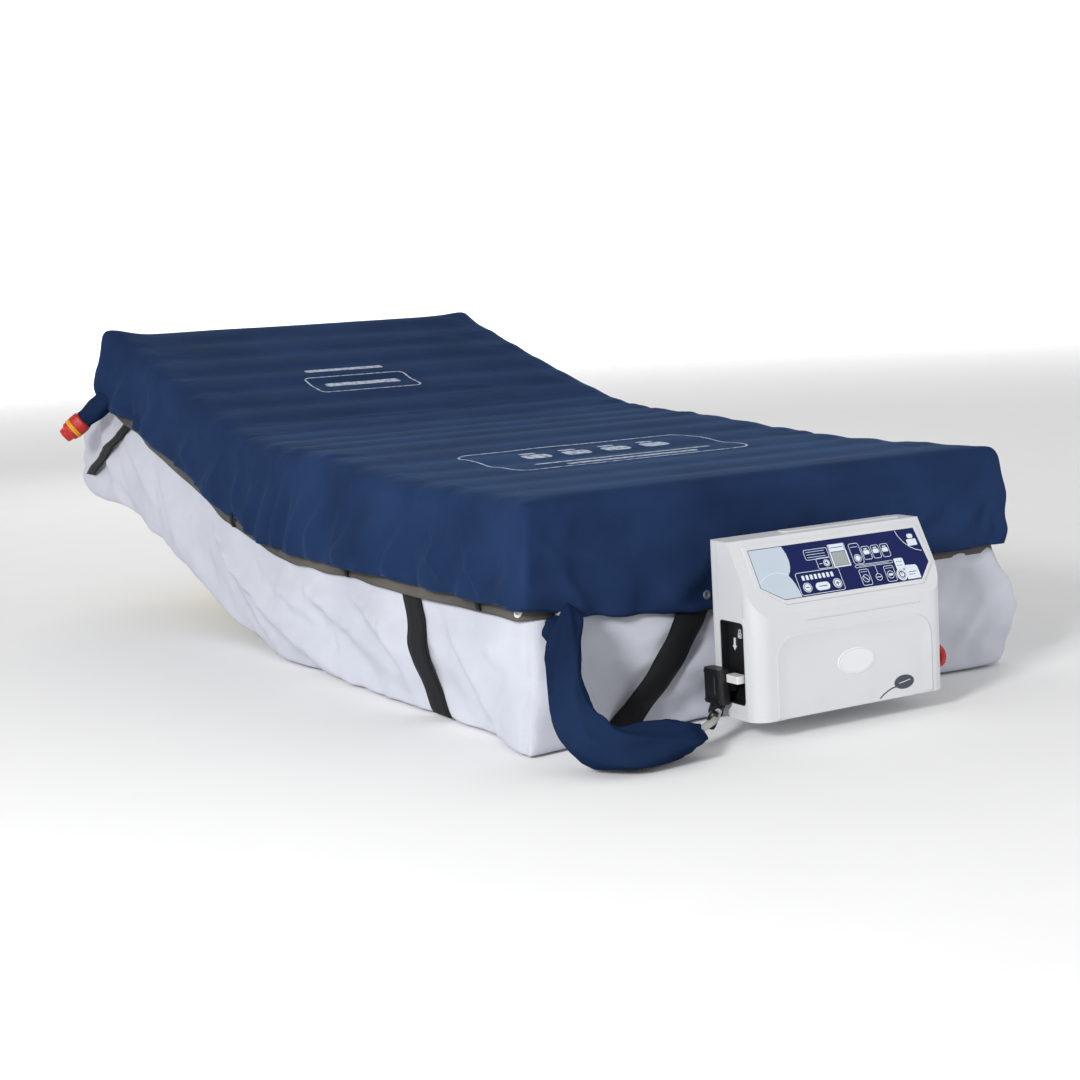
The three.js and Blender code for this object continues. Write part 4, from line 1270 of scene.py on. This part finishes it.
def add_panel_prints():
    """The membrane panel's printed zones, frames and pictograms, without any lettering."""
    corner = [(-146.4, 42.3), (-112.8, 20.6)]
    lower_lobe = [(-82.5, 20.6), (-83.5, 30), (-86, 40), (-89, 48), (-93, 55)]
    upper_lobe = [(-88, 61), (-85, 68), (-83.3, 77), (-84.0, 88), (-88, 100.4)]
    pale = corner + lower_lobe + upper_lobe + [(-146.4, 100.4)]
    raised("panel_pale_zone", [pale], on_panel, PANEL_TOP - 0.3, PANEL_TOP + 0.08, print_grey)

    white = [
        stroke([(-93, 55), (-101, 59.5), (-112, 62), (-124, 61), (-136, 56.5), (-146, 49.5)], 1.0),
        rounded(-9, 81.5, 22, 93, 2),
        rounded(-9, 56.5, 22, 58.6, 0.9),
        rounded(-9, 57.5, -6.4, 92, 1.2),
        rounded(19.4, 57.5, 22, 92, 1.2),
        outline(-82, 21.5, -3, 57, 4),
        outline(-54, 73.5, -11, 90, 3),
        outline(-37, 57.8, -10.5, 75, 3),
        outline(28, 56.5, 47, 90, 4),
        outline(27, 51.0, 97, 55.6, 2, 0.7),
        outline(30, 22.5, 48, 48, 3),
        outline(76, 22.5, 94, 48, 3),
        circle_line(37.5, 66, 6.4),
        oval(37.5, 66, 4.4),
        circle_line(39, 33.5, 6.2),
        circle_line(85, 33.5, 6.2),
        circle_line(62.5, 32.5, 5.8),
        stroke([(62.5, 38.4), (62.5, 51.2)], 0.7),
        stroke([(58.6, 32.5), (66.4, 32.5)], 1.2),
        stroke([(35.4, 36.8), (42.6, 30.2)], 1.3),
        rounded(81.2, 31.6, 88.8, 35.4, 1.4),
        stroke([(121, 100.2), (124, 90), (130, 80), (138, 72), (147, 66.5), (157.4, 63.5)], 1.0),
        rounded(136, 73.5, 154, 84, 1.6),
        rounded(139.5, 85.2, 150.5, 92.5, 3.4),
    ]
    for k in range(8):
        x = -70 + 7.4 * k
        white.append(rounded(x - 2.3, 44.2, x + 2.3, 51.8, 1.2))
    for x in (56.5, 74.0, 91.5):
        white.append(outline(x - 7.6, 61.5, x + 7.6, 83, 3.4))
        white.append(rounded(x - 5.2, 70, x + 5.2, 76.6, 1.6))
        white.append(rounded(x - 3.2, 77.6, x + 3.2, 79.6, 0.9))
    # the two-tabbed zone round the power key
    white.append([(99.5, 39.6), (116.5, 39.6), (116.5, 55), (114.5, 57), (99.5, 57)])
    white.append([(113.4, 21.8), (138, 21.8), (138, 39), (135.5, 43.5), (117.6, 44.5), (113.4, 39.2)])
    white.append((oval(105, 31, 9.6), oval(105, 31, 7.2)))
    raised("panel_white_prints", white, on_panel, PANEL_TOP - 0.3, PANEL_TOP + 0.1, print_white)
    leds = [oval(103.5, 51.5, 0.9, count=10), oval(103.5, 45.5, 0.9, count=10)]
    leds += [stroke([(106.5, 51.5), (113, 51.5)], 0.8), stroke([(106.5, 45.5), (112, 45.5)], 0.8)]
    leds += [stroke([(118, 33), (133, 33)], 1.0), stroke([(118, 29), (129, 29)], 0.8)]
    leds += [stroke([(-4.5, 87.5), (17.5, 87.5)], 1.0)]
    raised("panel_marks", leds, on_panel, PANEL_TOP - 0.2, PANEL_TOP + 0.18, panel_navy)
    faint = [stroke([(-50, y), (-17, y)], 0.9) for y in (86, 81.8, 77.6)]
    faint += [stroke([(-33.5, 66), (-27.5, 66)], 0.9), stroke([(31, 84), (44, 84)], 0.9)]
    faint += [stroke([(33, 44), (45, 44)], 0.8), stroke([(79, 44), (91, 44)], 0.8)]
    faint += [stroke([(34, 53.3), (90, 53.3)], 0.9)]
    raised("panel_faint_prints", faint, on_panel, PANEL_TOP - 0.2, PANEL_TOP + 0.08, print_grey)

    plus = [stroke([(-17, 33), (-11, 33)], 1.3), stroke([(-14, 30), (-14, 36)], 1.3)]
    horn = [(-22.6, 65), (-21, 65), (-19, 63), (-19, 69), (-21, 67), (-22.6, 67)]
    for key, marks in (
        ("key_minus", [circle_line(-68, 33, 6.4, 0.9), stroke([(-71, 33), (-65, 33)], 1.3)]),
        ("key_plus", [circle_line(-14, 33, 6.4, 0.9)] + plus),
        ("key_boost", [stroke([(-48, 32), (-34, 32)], 1.2)]),
        ("key_mute", [circle_line(-20, 66, 4.8, 0.6), horn]),
        ("key_power", [circle_line(105, 31, 5.4, 1.5), stroke([(105, 31), (105, 34.4)], 1.3)]),
    ):
        made = raised(key + "_mark", marks, on_panel, KEY_TOP - 0.1, KEY_TOP + 0.08, panel_navy)
        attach(made, key)


def add_case_details():
    """Badge, label and soft step on the front; frame and marks at the hose bay; strip along the top."""
    line = (oval(5, 67, 31.6, 17.2, 48), oval(5, 67, 31.0, 16.6, 48))
    tail = stroke([(79, 17), (70, 15.5), (62, 12.5), (54, 8.5), (47, 3.4)], 2.0)
    mark = stroke([(83, 21), (93, 22.5), (104, 24.5)], 1.0)
    for name, shape, low, high, shader, edge in (
        ("pump_badge", oval(5, 67, 34, 19.5, 48), -0.4, 0.9, badge_white, 0.7),
        ("pump_badge_line", line, 0.5, 0.95, print_grey, 0.0),
        ("pump_label", oval(93, 22, 18.5, 10.5, 40), -0.4, 0.6, dark_label, 0.3),
        ("pump_label_tail", tail, -0.4, 0.2, dark_label, 0.0),
        ("pump_label_line", mark, 0.3, 0.72, badge_white, 0.0),
    ):
        raised(name, [shape], on_front, RECESS + low, RECESS + high, shader, edge)

    # the arched step runs out softly instead of ending in a sharp edge; edge has (x, z, direction) points
    left, right, top, corner = -138, 147, 121, 34
    edge = [(right, z, 0.0) for z in (2.5, 3.2, 4.5, 30)]
    for cx, start in ((right - corner, 0), (left + corner, 90)):
        for k in range(11):
            angle = math.radians(start + 9 * k)
            edge.append((cx + corner * math.cos(angle), top - corner + corner * math.sin(angle), angle))
    edge += [(left, z, math.pi) for z in (30, 4.5, 3.2, 2.5)]
    points, faces = [], []
    steps = 8
    for x, z, angle in edge:
        for k in range(steps + 1):
            share = k / steps
            inward = 24 * share - 0.4
            out = RECESS * (1 - (1 - share) ** 2) + 0.05 * (1 - share) - 0.25 * share**6
            points.append(on_front(x - inward * math.cos(angle), z - inward * math.sin(angle), out))
    for i in range(len(edge) - 1):
        for k in range(steps):
            a = i * (steps + 1) + k
            faces.append((a, a + 1, a + steps + 2, a + steps + 1))
    step = mesh_object("pump_front_step", points, faces)
    if step.data.polygons[30].normal.y > 0:
        step.data.flip_normals()
    solidify(step, 0.0004, offset=-1)
    paint(step, shell_white)
    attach(step, "root")

    frame_outer = rounded(-40.5, 10.5, 30.5, 149.5, 9)
    frame_inner = rounded(-31.5, 21.5, 26.5, 142.5, 7)
    raised("bay_frame", [(frame_outer, frame_inner)], on_left, -1.2, 0.7, shell_white, 0.5)
    wall = -12.0
    arrow = [(-13, 97), (-8, 104), (-11, 104), (-11, 115), (-15, 115), (-15, 104), (-18, 104)]
    lock = [outline(-4, 116, 4, 123, 1.2, 1.0), outline(-2.4, 122.4, 2.4, 129, 2.2, 0.9)]
    lock += [rounded(-1, 117.6, 1, 121, 0.8)]
    raised("bay_marks", [arrow] + lock, on_left, wall - 0.8, wall + 0.5, badge_white)
    raised(
        "case_top_strip",
        [rounded(-60, 24, 158, 46, 8)],
        lambda x, y, out: pump_point(x, y, PUMP_HEIGHT + out),
        -1.0,
        1.6,
        shell_white,
        1.0,
    )


def ribbed(name, profile, ribs, depth, place, shader, body, node, sides=96):
    """A turned piece whose rim is ribbed: (radius, height, rib share) points, closed at both ends."""
    points = []
    for radius, height, share in profile:
        for k in range(sides):
            angle = 2 * math.pi * k / sides
            reach = radius - depth * share * (1 - (0.5 + 0.5 * math.cos(ribs * angle)) ** 0.7)
            points.append(place(reach * math.cos(angle), reach * math.sin(angle), height))
    rings = len(profile)
    obj = mesh_object(name, points, ring_faces(rings, sides) + end_caps(rings, sides))
    turn_outward(obj)
    crisp = obj.modifiers.new("Edges", "EDGE_SPLIT")
    crisp.split_angle = math.radians(50)
    apply_modifiers(obj)
    paint(obj, shader)
    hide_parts(node)
    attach(obj, body)
    return obj


def add_connector_details():
    """Ribs and a slot on the connector block, and the clip that keeps the two tubes together."""
    on_block = lambda y, z, out: np.array((-206.0 - out, -y, z)) * MM
    middle = 1119 - 22 - FLAT_TO_ROW * 1000
    slot = [rounded(middle + 6, 64, middle + 8.4, 90, 1.1)]
    raised("connector_slot", slot, on_block, -0.6, 0.3, dark_label, 0.2)
    ridge = [rounded(middle - 18, 94, middle + 19, 98.4, 1.6), rounded(middle - 18, 52.5, middle + 19, 56.5, 1.6)]
    raised("connector_ridges", ridge, on_block, -0.6, 1.4, black_plastic, 0.7)
    line = hose_line[86:91]
    section = lambda share, angle: (
        0.0072 * math.copysign(abs(math.cos(angle)) ** 0.6, math.cos(angle)),
        0.0135 * math.copysign(abs(math.sin(angle)) ** 0.6, math.sin(angle)),
    )
    clip = swept("tube_clip", line, section, 28)
    paint(clip, black_plastic)
    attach(clip, "root")


def add_side_knob():
    profile = [(8, 0.5, 0), (8, 3.8, 0), (15.5, 4.0, 0.2), (17.2, 4.8, 1), (17.5, 6, 1)]
    profile += [(17.5, 11.6, 1), (16.8, 13, 1), (14.5, 13.9, 0.2), (3, 14.2, 0)]
    place = lambda a, b, out: pump_point(PUMP_WIDTH / 2 + out, -20 + a, 44 + b)
    ribbed("side_knob_ribbed", profile, 24, 1.4, place, red_plastic, "side_knob", "side_knob")


# Emergency deflation valve ------------------------------------------------------------------------

VALVE_AT = mattress_point([(-COVER_HALF_WIDTH - 0.019, FLAT_TO_ROW + 0.961, 0.212)])[0]
VALVE_OUTWARD = np.array((-0.740619, 0.300407, -0.601032))


def add_valve():
    side = np.cross(VALVE_OUTWARD, (0, 0, 1.0))
    side /= np.linalg.norm(side)
    up = np.cross(side, VALVE_OUTWARD)
    place = lambda a, b, out: VALVE_AT + (side * a + up * b + VALVE_OUTWARD * out) * MM

    # gathered fabric sleeve from under the cover to the valve's body
    rings, sides = 46, 60
    points = []
    for i in range(rings):
        share = i / (rings - 1)
        out = -34 + 94 * share
        gather = float(smoothstep(0.62, 0.9, share)) + float(smoothstep(0.22, 0.0, share))
        base = 24.5 + 2.5 * math.sin(math.pi * share)
        base += 2.2 * float(smoothstep(0.92, 1.0, share)) - 4.0 * float(smoothstep(0.6, 0.88, share))
        for k in range(sides):
            angle = 2 * math.pi * k / sides
            fold = 1.3 * (1 - 2 * abs(math.sin(1.5 * angle + 2.4 * share))) + 0.9 * math.sin(13 * angle) * gather
            fold += 0.8 * math.sin(5 * angle - 7 * share)
            radius = base + fold
            points.append(place(radius * 1.06 * math.cos(angle), radius * 0.9 * math.sin(angle), out))
    sleeve = mesh_object("cpr_fabric_sleeve", points, ring_faces(rings, sides))
    turn_outward(sleeve)
    solidify(sleeve, 0.0011, offset=-1)
    paint(sleeve, navy_cloth)
    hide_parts("cpr_sleeve")
    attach(sleeve, "head_section")

    body = [(18, 56, 0), (21.5, 60.6, 0), (22.8, 62.5, 0), (23.5, 64.5, 1), (23.5, 80, 1)]
    body += [(22.8, 82, 0.3), (18, 82.1, 0)]
    ribbed("cpr_body_ribbed", body, 30, 1.2, place, red_plastic, "head_section", "cpr_valve_body", 120)
    ring = [(18, 82.5, 0), (23.2, 82.6, 0), (24, 83.4, 0), (24, 86.4, 0), (23.0, 87.2, 0)]
    ring += [(24, 88, 0), (24, 91.2, 0), (23.2, 92, 0), (18, 92.1, 0)]
    ribbed("cpr_band_ring", ring, 1, 0, place, yellow_plastic, "head_section", "cpr_band", 64)
    cap = [(17, 92.6, 0), (21.4, 92.8, 0.2), (22, 93.8, 1), (21.4, 99.5, 1), (19.6, 102.5, 0.4), (17.4, 104, 0)]
    cap += [(17.0, 108, 0), (16.4, 113.5, 0), (15.4, 115.4, 0), (13.5, 116, 0), (12.4, 114.2, 0), (3, 114.0, 0)]
    ribbed("cpr_cap_ribbed", cap, 30, 1.1, place, red_plastic, "cpr_cap", "cpr_cap", 120)


add_panel_prints()
add_case_details()
add_connector_details()
add_side_knob()
add_valve()


# CAD parts that stay: softer edges and better materials -------------------------------------------


def soften(node, shader, width, segments=3):
    """Rounds the edges of a CAD part that stays, with flat faces kept flat, and gives it its material."""
    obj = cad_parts[node]
    flat = obj.modifiers.new("Flat faces", "DECIMATE")
    flat.decimate_type = "DISSOLVE"
    flat.angle_limit = math.radians(1.5)
    edges = obj.modifiers.new("Bevel", "BEVEL")
    edges.width = width
    edges.segments = segments
    edges.limit_method = "ANGLE"
    edges.angle_limit = math.radians(32)
    edges.harden_normals = False
    obj.data.polygons.foreach_set("use_smooth", [True] * len(obj.data.polygons))
    normals = obj.modifiers.new("Normals", "WEIGHTED_NORMAL")
    normals.keep_sharp = True
    paint(obj, shader)


for node, shader, width in (
    ("pump_front_case", shell_white, 0.0022),
    ("pump_back_case", shell_white, 0.0012),
    ("connector_bay", black_plastic, 0.0004),
    ("hose_connector", black_plastic, 0.0026),
    ("connector_latch", snap_white, 0.001),
    ("power_switch", red_plastic, 0.0006),
    ("filter_cover", shell_white, 0.0004),
    ("mains_inlet", black_plastic, 0.0005),
    ("compressor", cast_metal, 0.001),
    ("circuit_board", board_green, 0.0001),
    ("hook_left", shell_white, 0.0008),
    ("hook_right", shell_white, 0.0008),
    ("pump_foot_left", rubber, 0.0008),
    ("pump_foot_right", rubber, 0.0008),
):
    soften(node, shader, width)
soften("control_panel", panel_navy, 0.0002, 2)
soften("lcd_window", lcd_glass, 0.0002, 2)
for key in ("key_minus", "key_boost", "key_plus", "key_mute", "key_power"):
    soften(key, print_white, 0.0002, 2)
